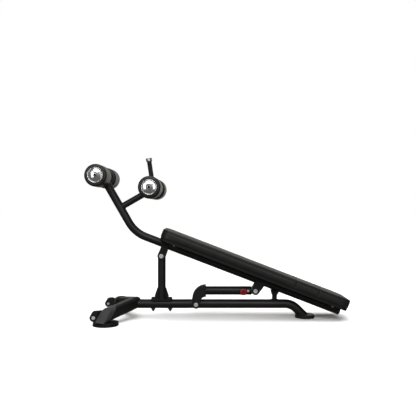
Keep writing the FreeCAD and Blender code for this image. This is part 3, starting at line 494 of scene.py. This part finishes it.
def moulded(name, dark, light, low, high, grain=900, level=0.4):
    """Moulded rubber or plastic: a spark-eroded skin and slow drifts of tone."""
    f = Finish(name)
    drift = f.noise(16, 3.0)
    f.colour(f.blend(drift, dark, light))
    f.rough(f.noise(55, 4.0), low, high)
    f.relief((f.noise(70, 2.0), 0.06, 0.001), (f.noise(grain, 2.0), 0.22, 0.0003))
    f.set(Specular_IOR_Level=level)
    return f.material


def sintered():
    f = Finish("sintered_bronze")
    pores = f.cells(1300)
    f.colour(f.blend(f.noise(150, 4.0), (0.36, 0.22, 0.10), (0.56, 0.38, 0.18)))
    f.rough(f.noise(200, 3.0), 0.38, 0.52)
    f.relief((pores, 0.3, 0.0003))
    f.set(Metallic=1.0)
    return f.material


def board_stain_and_painted_shade():
    """Birch plywood under a thin black stain, its grain along the bench. Its near black is partly that
    stain and partly painted shade for the gap under the pad.
    """
    f = Finish("board_stain_and_painted_shade")
    grain = f.noise(60, 6.0, 0.65, f.scaled((0.6, 9, 9)))
    # near black: partly the black stain, partly painted shade for the gap under the pad's side
    f.colour(f.blend(grain, (0.0060, 0.0058, 0.0056), (0.0105, 0.0100, 0.0096)))
    f.rough(grain, 0.55, 0.75)
    f.relief((grain, 0.25, 0.0006))
    f.set(Specular_IOR_Level=0.3)
    return f.material


PAINT = powder_coat("satin_powder_coat", (0.0072, 0.0072, 0.0075), (0.0115, 0.0115, 0.0118))
VINYL = upholstery()
THREAD = thread()
FOAM = foam_skin()
CHROME = chrome()
ZINC = bare_metal("zinc_plate", (0.72, 0.72, 0.71), (0.85, 0.85, 0.83), 0.32, 0.46, metallic=0.40)
BLACK_OXIDE = bare_metal("black_oxide", (0.020, 0.020, 0.021), (0.034, 0.034, 0.036), 0.34, 0.48,
                         metallic=0.6)
ALUMINIUM = bare_metal("anodised_aluminium", (0.40, 0.40, 0.41), (0.52, 0.52, 0.53), 0.24, 0.36,
                       (30, 30, 2), 60)
RUBBER = moulded("matte_rubber", (0.009, 0.009, 0.009), (0.017, 0.017, 0.017), 0.68, 0.85, 700, 0.25)
GRIP = moulded("grip_rubber", (0.009, 0.009, 0.009), (0.015, 0.015, 0.015), 0.52, 0.66, 1200, 0.35)
PLASTIC = moulded("black_plastic", (0.011, 0.011, 0.012), (0.018, 0.018, 0.019), 0.36, 0.48)
# painted light: a light grey copy of the plastic, for the sloped end plates of the crossbar that catch
# light from above
COVER_PAINTED_LIGHT = moulded("cover_plastic_painted_light", (0.070, 0.070, 0.070), (0.096, 0.096, 0.096), 0.42, 0.55)
NYLON = moulded("wheel_nylon", (0.016, 0.016, 0.017), (0.028, 0.028, 0.030), 0.42, 0.55)
RED = moulded("red_plastic", (0.33, 0.006, 0.010), (0.46, 0.012, 0.016), 0.30, 0.42, 1100, 0.5)
# a darker copy of the red plastic: painted shade for the knob's recessed middle
RED_PAINTED_SHADE = moulded("red_plastic_painted_shade", (0.10, 0.004, 0.006), (0.15, 0.006, 0.009), 0.34, 0.46, 1100)
BRONZE = sintered()
BOARD_STAIN_AND_SHADE = board_stain_and_painted_shade()

BY_SLOT = {
    "frame_paint": PAINT, "vinyl": VINYL, "foam": FOAM, "rubber": RUBBER, "grip_rubber": GRIP,
    "plastic": PLASTIC, "wheel": NYLON, "zinc_steel": ZINC, "chrome": CHROME,
    "aluminium": ALUMINIUM, "bronze": BRONZE, "board": BOARD_STAIN_AND_SHADE, "red_knob": RED,
}


def coat(piece, material):
    """Gives every face of a piece one material."""
    if not piece.data.materials:
        piece.data.materials.append(material)
    for entry in piece.material_slots:
        entry.link = "OBJECT"
        entry.material = material


def slot_of(node):
    """The record's slot whose name the CAD node's own material carries."""
    own = NODES[node].data.materials[0].name
    return own.split(".")[0]


for node_name, node_object in NODES.items():
    coat(node_object, BY_SLOT[slot_of(node_name)])
# painted light: the crossbar's sloped end plates take a light grey in place of the light they catch from
# above
coat(NODES["crossbar_end_covers"], COVER_PAINTED_LIGHT)
coat(NODES["flange_bolts"], BLACK_OXIDE)
# painted shade: the cap in the knob's recessed middle takes the darker copy of the red
coat(NODES["knob_cap"], RED_PAINTED_SHADE)


# ---------------------------------------------------------------- pad

def grid_lines(low, high, step, kept=()):
    """Grid lines from low to high about a step apart, which pass through the kept places."""
    marks = sorted({low, high, *[k for k in kept if low < k < high]})
    found = [low]
    for start, end in zip(marks, marks[1:]):
        count = max(1, round((end - start) / step))
        found += [start + (end - start) * (i + 1) / count for i in range(count)]
    return found


def box_grid(us, vs, ws):
    """A closed box of quads whose edges follow three sets of grid lines."""
    index, points, faces = {}, [], []

    def spot(i, j, k):
        if (i, j, k) not in index:
            index[i, j, k] = len(points)
            points.append(Vector((us[i], vs[j], ws[k])))
        return index[i, j, k]

    last = (len(us) - 1, len(vs) - 1, len(ws) - 1)
    for flat, first, second in ((2, 0, 1), (1, 0, 2), (0, 1, 2)):
        for a in range(last[first]):
            for b in range(last[second]):
                for end in (0, last[flat]):
                    face = []
                    for da, db in ((0, 0), (1, 0), (1, 1), (0, 1)):
                        at = [end, end, end]
                        at[first], at[second] = a + da, b + db
                        face.append(spot(*at))
                    faces.append(face)
    return points, faces


def corner_turned(a, b):
    """Turns the corner of a square into the quarter of a circle."""
    size = math.hypot(a, b)
    if size < 1e-9:
        return a, b
    return a * max(a, b) / size, b * max(a, b) / size


class PadShape:
    """The pad's outline in the level frame, drawn in from the CAD solid by a small shrink."""

    def __init__(self, shrink):
        low, high = level_box("pad_cushion")
        self.middle = (low.x + high.x) / 2
        self.half_u = (high.x - low.x) / 2 - shrink
        self.half_v = (high.y - low.y) / 2 - shrink
        self.bottom = low.z
        self.top = high.z - shrink
        self.seam_height = high.z - SIDE_SEAM_DEPTH
        self.cross_seams = [high.x - distance for distance in CROSS_SEAMS]

    def in_plan(self, u, v):
        """The point after the corners are rounded, its depth inside the outline, and the way out."""
        side_u = math.copysign(1, u - self.middle)
        side_v = math.copysign(1, v)
        a = abs(u - self.middle) - (self.half_u - PAD_CORNER)
        b = abs(v) - (self.half_v - PAD_CORNER)
        if a > 0 and b > 0:
            a, b = corner_turned(a, b)
            reach = math.hypot(a, b)
            u = self.middle + side_u * (self.half_u - PAD_CORNER + a)
            v = side_v * (self.half_v - PAD_CORNER + b)
            way = Vector((side_u * a / reach, side_v * b / reach, 0)) if reach > 1e-9 else Vector()
            return u, v, PAD_CORNER - reach, way
        if a > b:
            return u, v, self.half_u - abs(u - self.middle), Vector((side_u, 0, 0))
        return u, v, self.half_v - abs(v), Vector((0, side_v, 0))

    def place(self, point):
        """Moves a point of the square box to the rounded pad."""
        u, v, depth, way = self.in_plan(point.x, point.y)
        for level, sign, radius in ((self.top, 1, PAD_EDGE), (self.bottom, -1, PAD_FOOT_EDGE)):
            below = sign * (level - point.z)
            if depth < radius and below < radius:
                a, b = corner_turned(radius - depth, radius - below)
                out = depth - (radius - a)
                return Vector((u, v, level - sign * (radius - b))) + way * out
        return Vector((u, v, point.z))

    def seam_gaps(self, point):
        """How far a point of the skin is from the nearest rim seam and the nearest cross seam."""
        far = 50 * MM
        if point.z < self.bottom + 1 * MM:
            return far, far
        depth = self.in_plan(point.x, point.y)[2]
        rim = abs(point.z - self.seam_height) if depth < 1e-6 else far
        if point.z > self.top - 1e-6:
            rim = min(rim + depth, abs(depth - TOP_SEAM_INSET))
        return rim, min([far] + [abs(point.x - seam) for seam in self.cross_seams])

    def outline(self, height, out, step):
        """Points round the pad's side at one height."""
        ring = []
        inner_u, inner_v = self.half_u - PAD_CORNER, self.half_v - PAD_CORNER
        radius = PAD_CORNER + out
        for quarter, (su, sv) in enumerate(((1, 1), (-1, 1), (-1, -1), (1, -1))):
            for i in range(13):
                angle = math.radians(90 * quarter + 7.5 * i)
                ring.append(Vector((self.middle + su * inner_u + radius * math.cos(angle),
                                    sv * inner_v + radius * math.sin(angle), height)))
        return evenly(ring + ring[:1], step)

    def crossing(self, u, step):
        """Points across the pad at one place along it, from side seam to side seam."""
        line = [Vector((u, self.half_v, self.seam_height))]
        for i in range(7):
            angle = math.radians(15 * i)
            line.append(Vector((u, self.half_v - PAD_EDGE * (1 - math.cos(angle)),
                                self.top - PAD_EDGE * (1 - math.sin(angle)))))
        other = [Vector((p.x, -p.y, p.z)) for p in reversed(line)]
        return evenly(line + other, step)

    def limit(self, point):
        """The most that a point of the skin may move outwards."""
        return TOP_SWELL if point.z > self.top - 1e-6 else SIDE_SWELL


def evenly(line, step):
    """Points a step apart along a list of points."""
    found, left = [line[0]], step
    for start, end in zip(line, line[1:]):
        length = (end - start).length
        while length > left:
            start = start + (end - start) * (left / length)
            found.append(start)
            length -= left
            left = step
        left -= length
    return found


def in_level_frame(piece):
    """Slopes a piece that was made in the level frame as the rail slopes."""
    piece.data.transform(TO_BENCH.to_4x4())
    piece.data.update()
    return piece


def make_cushion(shape):
    near = (0.9 * MM, SEAM_HALF_WIDTH)
    gaps = [side * gap for gap in (0, *near) for side in (-1, 1)]
    edge_marks = [0.35 * PAD_EDGE, 0.7 * PAD_EDGE, PAD_EDGE] + [TOP_SEAM_INSET + gap for gap in gaps]
    ends = [shape.middle + side * (shape.half_u - m) for m in edge_marks for side in (-1, 1)]
    flanks = [side * (shape.half_v - m) for m in edge_marks for side in (-1, 1)]
    levels = [shape.top - m for m in edge_marks[:3]] + [shape.bottom + PAD_FOOT_EDGE]
    us = grid_lines(shape.middle - shape.half_u, shape.middle + shape.half_u, PAD_GRID,
                    ends + [seam + gap for seam in shape.cross_seams for gap in gaps])
    vs = grid_lines(-shape.half_v, shape.half_v, PAD_GRID, flanks)
    ws = grid_lines(shape.bottom, shape.top, PAD_GRID,
                    levels + [shape.seam_height + gap for gap in gaps[:4]])
    square, faces = box_grid(us, vs, ws)
    pairs = [shape.seam_gaps(p) for p in square]
    limits = [shape.limit(p) for p in square]
    cushion = new_piece("cushion_skin", [shape.place(p) for p in square], faces)
    for name, values in (("rim_gap", [p[0] for p in pairs]), ("cross_gap", [p[1] for p in pairs])):
        attribute = cushion.data.attributes.new(name, "FLOAT", "POINT")
        attribute.data.foreach_set("value", values)
    held = [v.index for v, pair in zip(cushion.data.vertices, pairs)
            if min(pair) < 0.5 * MM or v.co.z < shape.bottom + 0.5 * MM]
    swell(cushion, held, limits)
    subdivide_once(cushion)
    sew(cushion)
    return cushion


def sew(cushion):
    """Draws the skin in along each seam, with a low swelling on both sides of it."""
    mesh = cushion.data
    rims, crosses = [0.0] * len(mesh.vertices), [0.0] * len(mesh.vertices)
    mesh.attributes["rim_gap"].data.foreach_get("value", rims)
    mesh.attributes["cross_gap"].data.foreach_get("value", crosses)
    normals = [v.normal.copy() for v in mesh.vertices]
    for vertex, normal, rim, cross in zip(mesh.vertices, normals, rims, crosses):
        gap = min(rim, cross)
        crease = -1.3 * MM * math.exp(-(rim / (1.1 * MM)) ** 2)
        valley = -2.6 * MM * math.exp(-(cross / (2.0 * MM)) ** 2)
        beside = 0.5 * MM * math.exp(-((gap - 5 * MM) / (2.6 * MM)) ** 2)
        pucker = 0.25 * MM * math.exp(-gap / (12 * MM)) * noise(vertex.co * 90)
        vertex.co += normal * (crease + valley + beside + pucker)
    for name in ("rim_gap", "cross_gap"):
        mesh.attributes.remove(mesh.attributes[name])
    mesh.update()


def stitch_rows(shape):
    """The lines that the stitches follow, in the level frame."""
    rows = []
    for seam in shape.cross_seams:
        for side in (-1, 1):
            rows.append(shape.crossing(seam + side * STITCH_OFFSET, STITCH_PITCH))
    rows.append(shape.outline(shape.seam_height - STITCH_OFFSET, 2 * MM, STITCH_PITCH))
    rows.append(shape.outline(shape.top + 3 * MM, -TOP_SEAM_INSET - STITCH_OFFSET, STITCH_PITCH))
    return rows


def make_stitches(shape, cushion):
    surface = BVHTree.FromPolygons([v.co for v in cushion.data.vertices],
                                   [list(p.vertices) for p in cushion.data.polygons])
    parts = []
    for row in stitch_rows(shape):
        spots = [surface.find_nearest(p)[:2] for p in row]
        for (here, normal), (after, _) in zip(spots, spots[1:]):
            along = (after - here).normalized()
            profile = [(0, 0), (STITCH_RADIUS, 0.5 * MM), (1.25 * STITCH_RADIUS, STITCH_LENGTH / 2),
                       (STITCH_RADIUS, STITCH_LENGTH - 0.5 * MM), (0, STITCH_LENGTH)]
            start = here + normal * (0.25 * MM) + along * (STITCH_PITCH - STITCH_LENGTH) / 2
            parts.append(lathe(profile, 6, start, along))
    return new_piece("pad_stitches", *join_parts(parts))


def make_wrap():
    """The vinyl turned under the board's edge, in two long strips and four short ones."""
    low, high = level_box("pad_board")
    face = low.z - 0.5 * MM
    rail_half = (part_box("rail_tube")[1].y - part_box("rail_tube")[0].y) / 2 + 6 * MM
    parts = []
    u0, u1, v1 = low.x + WRAP_INSET, high.x - WRAP_INSET, high.y - WRAP_INSET
    for side in (-1, 1):
        parts.append(wavy_strip(Vector((u0 + PAD_CORNER, side * v1, face)),
                                Vector((u1 - PAD_CORNER, side * v1, face)),
                                Vector((0, -side * WRAP_WIDTH, 0))))
        for u, inward in ((u0, WRAP_WIDTH), (u1, -WRAP_WIDTH)):
            parts.append(wavy_strip(Vector((u, side * (v1 - PAD_CORNER), face)),
                                    Vector((u, side * rail_half, face)), Vector((inward, 0, 0))))
    return new_piece("pad_wrap_under", *join_parts(parts))


def wavy_strip(start, end, width):
    """A strip of vinyl with a slightly uneven cut edge, on the underside of the board."""
    steps = max(4, round((end - start).length / (8 * MM)))
    thick = Vector((0, 0, -0.7 * MM))
    points, faces = [], []
    for i in range(steps + 1):
        base = start + (end - start) * (i / steps)
        cut = 1 + 0.05 * noise(base * 55)
        lift = Vector((0, 0, -0.3 * MM)) * (1 + noise(base * 130))
        for corner in (base, base + width * 0.5 + lift, base + width * cut,
                       base + width * cut + thick, base + width * 0.5 + lift + thick, base + thick):
            points.append(corner)
    for i in range(steps):
        for k in range(6):
            after = (k + 1) % 6
            faces.append([i * 6 + k, i * 6 + after, i * 6 + 6 + after, i * 6 + 6 + k])
    faces.append(list(range(6)))
    faces.append([steps * 6 + k for k in range(6)])
    return points, faces


def make_staples():
    """Wire staples that hold the turned vinyl to the board."""
    low, high = level_box("pad_board")
    face = low.z - 1.6 * MM
    parts = []
    leg = UP * STAPLE_LEG
    count = round((high.x - low.x - 2 * PAD_CORNER) / STAPLE_PITCH)
    for side in (-1, 1):
        v = side * (high.y - STAPLE_INSET)
        for i in range(count + 1):
            u = low.x + PAD_CORNER + i * STAPLE_PITCH
            turn = 0.35 * noise(Vector((u * 40, side, 0.5)))
            half = Vector((math.cos(turn), math.sin(turn), 0)) * STAPLE_HALF
            here = Vector((u, v, face))
            line = [here - half + leg, here - half, here + half, here + half + leg]
            parts.append(tube_along(line, lambda travelled: STAPLE_WIRE, 6, False))
    return new_piece("pad_staples", *join_parts(parts))


pad_shape = PadShape(PAD_SHRINK)
cushion = make_cushion(pad_shape)
stitches = make_stitches(pad_shape, cushion)
for piece, material, slot in ((cushion, VINYL, "vinyl"), (stitches, THREAD, "vinyl"),
                              (make_wrap(), VINYL, "vinyl"), (make_staples(), ZINC, "zinc_steel")):
    in_level_frame(piece)
    coat(piece, material)
    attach(piece, "rail_frame")
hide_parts("pad_cushion")


# ---------------------------------------------------------------- foam rollers and their caps

def roller_profile(length, shrink):
    """Half the section of a roller, from its bore over both rounded edges and back to the bore."""
    low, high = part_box("foot_roller_foam_left")
    radius = (high.x - low.x) / 2 - shrink
    core_low, core_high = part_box("foot_roller_core_left")
    bore = (core_high.x - core_low.x) / 2 + 0.1 * MM
    steps = 6
    face = [(bore + (radius - ROLLER_EDGE - bore) * i / steps, shrink) for i in range(steps)]
    edge = arc_points((radius - ROLLER_EDGE, shrink + ROLLER_EDGE), ROLLER_EDGE, -90, 0, 6)
    rows = round((length - 2 * (shrink + ROLLER_EDGE)) / (7 * MM))
    inner, outer = shrink + ROLLER_EDGE, length - shrink - ROLLER_EDGE
    side = [(radius, inner + (outer - inner) * (i + 1) / rows) for i in range(rows - 1)]
    half = face + edge
    return half + side + [(r, length - y) for r, y in reversed(half)]


def make_roller(name):
    low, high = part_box(name)
    length = high.y - low.y
    profile = roller_profile(length, ROLLER_SHRINK)
    points, faces = lathe(profile, ROLLER_SIDES, Vector((0, 0, 0)), ACROSS)
    faces = faces[:-2]
    rows = len(profile)
    for k in range(ROLLER_SIDES):
        after = (k + 1) % ROLLER_SIDES
        faces.append([(rows - 1) * ROLLER_SIDES + k, (rows - 1) * ROLLER_SIDES + after, after, k])
    roller = new_piece(name + "_soft", points, faces)
    return roller, Vector(((low.x + high.x) / 2, low.y, (low.z + high.z) / 2))


def finish_roller(roller):
    """Swells the roller's skin around its bore and the seat of its cap."""
    cap_r = CAP_RADIUS + 1 * MM
    held = [v.index for v in roller.data.vertices if math.hypot(v.co.x, v.co.z) < cap_r]
    swell(roller, held, [ROLLER_SWELL] * len(roller.data.vertices))
    subdivide_once(roller)


shared = None
for end in ("foot", "knee"):
    for side in ("left", "right"):
        node = f"{end}_roller_foam_{side}"
        body = f"{end}_roller_{side}"
        roller, corner = make_roller(node)
        if shared is None:
            finish_roller(roller)
            shared = roller.data.copy()
        else:
            old = roller.data
            roller.data = shared.copy()
            bpy.data.meshes.remove(old)
        roller.data.transform(Matrix.Translation(corner))
        coat(roller, FOAM)
        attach(roller, body)
        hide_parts(node)


def cap_profile():
    """A spun cap: a rolled rim, a narrow groove, a shallow cone and a small pin hole."""
    rim_r = 3.4 * MM
    rim = arc_points((CAP_RADIUS - rim_r, 2.0 * MM), rim_r, 0, 150, 12)
    groove = [(CAP_RADIUS - 6.9 * MM, 3.2 * MM), (CAP_RADIUS - 7.6 * MM, 3.4 * MM)]
    cone = []
    for i in range(13):
        share = i / 12
        cone.append((CAP_RADIUS - 8.0 * MM - 31.0 * MM * share,
                     3.8 * MM + 6.4 * MM * share + 0.9 * MM * math.sin(math.pi * share)))
    nose = [(6.6 * MM, 10.5 * MM), (5.2 * MM, 10.8 * MM), (3.4 * MM, 10.8 * MM), (3.0 * MM, 10.2 * MM),
            (2.8 * MM, 7.0 * MM), (0, 7.0 * MM)]
    return [(CAP_RADIUS - 5 * MM, 0.2 * MM), (CAP_RADIUS - 0.6 * MM, 0)] + rim + groove + cone + nose


for end in ("foot", "knee"):
    for side, way in (("left", -1), ("right", 1)):
        low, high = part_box(f"{end}_roller_foam_{side}")
        face = low.y if way < 0 else high.y
        centre = Vector(((low.x + high.x) / 2, face + way * CAP_GAP, (low.z + high.z) / 2))
        points, faces = lathe(cap_profile(), 128, Vector(), ACROSS * way)
        cap = new_piece(f"{end}_roller_cap_{side}", points, faces)
        cap.location = centre
        coat(cap, CHROME)
        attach(cap, "rail_frame")
        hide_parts("roller_caps")


# ---------------------------------------------------------------- knob and grip

def make_knob():
    low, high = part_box("knob")
    centre = Vector(((low.x + high.x) / 2, high.y, (low.z + high.z) / 2))
    depth = high.y - low.y
    crown = [(0.24, 0), (0.60, 0), (0.66, 0.20), (0.78, 0.32), (0.97, 0.40), (1.06, 0.50), (1.09, 0.62),
             (1.07, 0.74), (1.00, 0.86), (0.86, 0.95), (0.66, 0.99), (0.53, 0.97), (0.49, 0.91), (0, 0.90)]
    radius = (high.x - low.x) / 2
    profile = [(r * radius, h * depth) for r, h in crown]
    points, faces = lathe(profile, 96, Vector(), -ACROSS)
    for i, point in enumerate(points):
        reach = math.hypot(point.x, point.z)
        lobe = max(0.0, min(1.0, (reach / radius - 0.62) / 0.35))
        angle = math.atan2(point.z, point.x)
        push = 1 + KNOB_LOBE_DEPTH * lobe * math.cos(KNOB_LOBES * angle)
        points[i] = Vector((point.x * push, point.y, point.z * push)) + centre
    knob = new_piece("red_pull_knob", points, faces)
    subdivide_once(knob)
    return knob


def axis_of(node):
    """The middle of a long round node and the unit vector along it, pointing up."""
    points = np.array([tuple(p) for p in node_points(node)])
    middle = (points.min(0) + points.max(0)) / 2
    _, _, ways = np.linalg.svd(points - points.mean(0), full_matrices=False)
    way = Vector(ways[0])
    if way.z < 0:
        way = -way
    reach = (points - middle) @ np.array(way)
    return Vector(middle), way, float(reach.max() - reach.min()) / 2


def make_grip():
    """A ribbed rubber sleeve with a flange at its foot."""
    middle, way, half = axis_of("handle_grip")
    tube = HANDLE_RADIUS + 0.05 * MM
    profile = [(tube, 0), (15.6 * MM, 0.3 * MM), (16 * MM, 1.5 * MM), (15.6 * MM, 3.2 * MM),
               (RIB_GROOVE, 4 * MM)]
    count = int((2 * half - 9 * MM) / RIB_PITCH)
    for i in range(count):
        base = 5 * MM + i * RIB_PITCH
        profile += [(RIB_GROOVE, base), (RIB_RADIUS, base + 0.8 * MM),
                    (RIB_RADIUS + 0.2 * MM, base + 1.9 * MM), (RIB_RADIUS, base + 3 * MM),
                    (RIB_GROOVE, base + 3.8 * MM)]
    profile += [(RIB_RADIUS, 2 * half - 1.6 * MM), (RIB_RADIUS, 2 * half - 0.4 * MM), (tube, 2 * half)]
    return new_piece("ribbed_grip", *lathe(profile, 64, middle - way * half, way))


knob = make_knob()
grip = make_grip()
for piece, material, slot, body, node in ((knob, RED, "red_knob", "pull_pin", "knob"),
                                          (grip, GRIP, "grip_rubber", "rail_frame", "handle_grip")):
    coat(piece, material)
    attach(piece, body)
    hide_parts(node)


# ---------------------------------------------------------------- spring of the locking pin

def make_spring():
    low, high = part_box("pin_spring")
    middle = (low + high) / 2
    radius = (high.x - low.x) / 2 - SPRING_WIRE
    length = high.y - low.y - 2 * SPRING_WIRE
    line = []
    for i in range(24 * SPRING_TURNS + 1):
        angle = 2 * math.pi * i / 24
        line.append(Vector((middle.x + radius * math.cos(angle),
                            low.y + SPRING_WIRE + length * i / (24 * SPRING_TURNS),
                            middle.z + radius * math.sin(angle))))
    return new_piece("coil_spring", *tube_along(line, lambda travelled: SPRING_WIRE, 8, False))


spring = make_spring()
coat(spring, ZINC)
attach(spring, "strut_outer")
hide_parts("pin_spring")
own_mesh(spring)


# ---------------------------------------------------------------- weld beads

def bead_radius(travelled):
    """The ripples of a weld."""
    return BEAD_RADIUS + BEAD_RIPPLE * abs(math.sin(math.pi * travelled / BEAD_PITCH))


def weld(name, body, line, closed=True):
    fine = evenly(line + line[:1] if closed else line, 1.0 * MM)
    if closed and (fine[-1] - fine[0]).length < 0.6 * MM:
        fine.pop()
    bead = new_piece(name, *tube_along(fine, bead_radius, 8, closed))
    coat(bead, PAINT)
    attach(bead, body)


def saddle_line(centre, way, branch_r, across, main_r):
    """Where a round branch that runs along way meets a round bar whose axis runs across it."""
    side = way.cross(across).normalized()
    line = []
    for k in range(96):
        angle = 2 * math.pi * k / 96
        out = branch_r * math.cos(angle)
        rise = math.sqrt(main_r ** 2 - out ** 2)
        line.append(centre + side * out + across * (branch_r * math.sin(angle)) + way * rise)
    return line


def ring_line(centre, radius, way):
    side, other = frame_of(way)
    line = []
    for k in range(96):
        angle = 2 * math.pi * k / 96
        line.append(centre + side * (radius * math.cos(angle)) + other * (radius * math.sin(angle)))
    return line


def radius_in_y(node):
    low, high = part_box(node)
    return (high.y - low.y) / 2


def column_welds():
    low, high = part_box("column")
    flange_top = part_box("column_flange")[1].z
    middle = (low.x + high.x) / 2
    radius = (high.x - low.x) / 2
    weld("weld_column_foot", "base", ring_line(Vector((middle, 0, flange_top)), radius, UP))
    fin_low, fin_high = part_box("column_gussets")
    fin_half = (fin_high.y - fin_low.y) / 2
    count = 0
    for side in (-1, 1):
        for face in (-1, 1):
            count += 1
            x = middle + side * (radius + 0.4 * MM)
            line = [Vector((x, face * fin_half, flange_top + 4 * MM)),
                    Vector((x, face * fin_half, fin_high.z - 3 * MM))]
            weld(f"weld_gusset_{count}", "base", line, closed=False)


def roller_frame_welds():
    hub_low, hub_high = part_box("branch_hub")
    hub = (hub_low + hub_high) / 2
    hub_r = (hub_high.x - hub_low.x) / 2
    foot = centre_of("foot_roller_axle")
    _, branch_way, _ = axis_of("branch_tube")
    branch_r = radius_in_y("branch_tube")
    rail_r = radius_in_y("rail_tube")
    weld("weld_branch_hub", "rail_frame", saddle_line(hub, -branch_way, branch_r, ACROSS, hub_r))
    arm_way = branch_way.cross(ACROSS).normalized()
    root = foot + arm_way * (hub - foot).dot(arm_way)
    weld("weld_branch_arm", "rail_frame", saddle_line(root, branch_way, branch_r, arm_way, rail_r))
    _, handle_way, _ = axis_of("handle_grip")
    weld("weld_handle", "rail_frame", saddle_line(hub, handle_way, HANDLE_RADIUS, ACROSS, hub_r))


def lug_welds():
    """Long beads where the lug plates meet the rail's sides."""
    rail_r = radius_in_y("rail_tube")
    for node in ("tilt_lugs", "strut_lugs"):
        low, high = level_box(node)
        for side in (-1, 1):
            y = side * rail_r * math.cos(math.radians(12))
            z = high.z - 1 * MM
            line = [TO_BENCH @ Vector((u, y, z)) for u in (low.x + 0.5 * (high.x - low.x), high.x - 4 * MM)]
            weld(f"weld_{node}_{'left' if side < 0 else 'right'}", "rail_frame", line, closed=False)


def beam_welds():
    beam_low, beam_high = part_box("main_beam")
    beam_r = (beam_high.y - beam_low.y) / 2
    beam_z = beam_high.z - beam_r
    post_low, post_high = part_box("stop_post")
    foot = Vector(((post_low.x + post_high.x) / 2, 0, beam_z))
    line = saddle_line(foot, UP, POST_FOOT_RADIUS, Vector((1, 0, 0)), beam_r)
    weld("weld_stop_post", "base", line)


column_welds()
roller_frame_welds()
lug_welds()
beam_welds()


# ---------------------------------------------------------------- floor, lights and camera

def look_at(thing, target):
    thing.rotation_euler = (Vector(target) - thing.location).to_track_quat("-Z", "Y").to_euler()


def softbox(name, place, target, width, height, power, tint=(1, 1, 1)):
    light = bpy.data.lights.new(name, "AREA")
    light.shape = "RECTANGLE"
    light.size = width
    light.size_y = height
    light.energy = power
    light.color = tint
    lamp = bpy.data.objects.new(name, light)
    lamp.location = place
    SCENE.collection.objects.link(lamp)
    look_at(lamp, target)
    lamp.visible_camera = False
    return lamp


def make_floor():
    """A wide pale disc; its own sun lights it, so that the dark bench keeps its soft light."""
    rim = ring_line(Vector((0, 0, -0.4 * MM)), 40.0, UP)
    floor = new_piece("studio_floor", rim, [list(range(len(rim)))], smooth=False)
    f = Finish("studio_floor_paint")
    f.colour(f.blend(f.noise(1.5, 3.0), (0.80, 0.80, 0.80), (0.82, 0.82, 0.82)))
    f.rough(f.noise(3.0, 2.0), 0.85, 0.95)
    f.set(Specular_IOR_Level=0.0)
    coat(floor, f.material)
    floor.visible_diffuse = False
    floor.visible_glossy = False
    lit = bpy.data.collections.new("floor_only")
    lit.objects.link(floor)
    sun = bpy.data.lights.new("floor_sun", "SUN")
    sun.energy = 4.0
    sun.angle = math.radians(75)
    lamp = bpy.data.objects.new("floor_sun", sun)
    SCENE.collection.objects.link(lamp)
    lamp.light_linking.receiver_collection = lit


def make_world():
    """White behind everything, and a dim even room for the light that reaches the bench."""
    world = bpy.data.worlds.new("studio")
    SCENE.world = world
    world.use_nodes = True
    tree = world.node_tree
    white = tree.nodes["Background"]
    white.inputs["Color"].default_value = (1, 1, 1, 1)
    white.inputs["Strength"].default_value = 1.0
    dim = tree.nodes.new("ShaderNodeBackground")
    dim.inputs["Color"].default_value = (1.0, 0.97, 0.93, 1)
    dim.inputs["Strength"].default_value = 0.13
    path = tree.nodes.new("ShaderNodeLightPath")
    mix = tree.nodes.new("ShaderNodeMixShader")
    tree.links.new(path.outputs["Is Camera Ray"], mix.inputs["Fac"])
    tree.links.new(dim.outputs["Background"], mix.inputs[1])
    tree.links.new(white.outputs["Background"], mix.inputs[2])
    tree.links.new(mix.outputs["Shader"], tree.nodes["World Output"].inputs["Surface"])


make_floor()
make_world()
middle = (CAD_BOX[0] + CAD_BOX[1]) / 2
softbox("front_key", (-0.4, -3.4, 3.0), middle, 2.6, 1.4, 60)
softbox("left_strip", (-2.35, -3.4, 1.3), middle, 0.6, 2.0, 22)
softbox("right_strip", (1.25, -3.4, 1.3), middle, 0.6, 2.0, 18)
softbox("overhead", (0, 0, 3.2), middle, 2.6, 1.6, 20)
softbox("back_wall", (0, 4.0, 1.4), middle, 6.0, 2.8, 31, (1.0, 0.94, 0.87))

camera = bpy.data.cameras.new("camera")
camera.lens = CAMERA_LENS
viewpoint = bpy.data.objects.new("camera", camera)
viewpoint.location = CAMERA_PLACE
viewpoint.rotation_euler = (math.radians(90), 0, 0)
SCENE.collection.objects.link(viewpoint)
SCENE.camera = viewpoint
SCENE.view_settings.view_transform = "Standard"
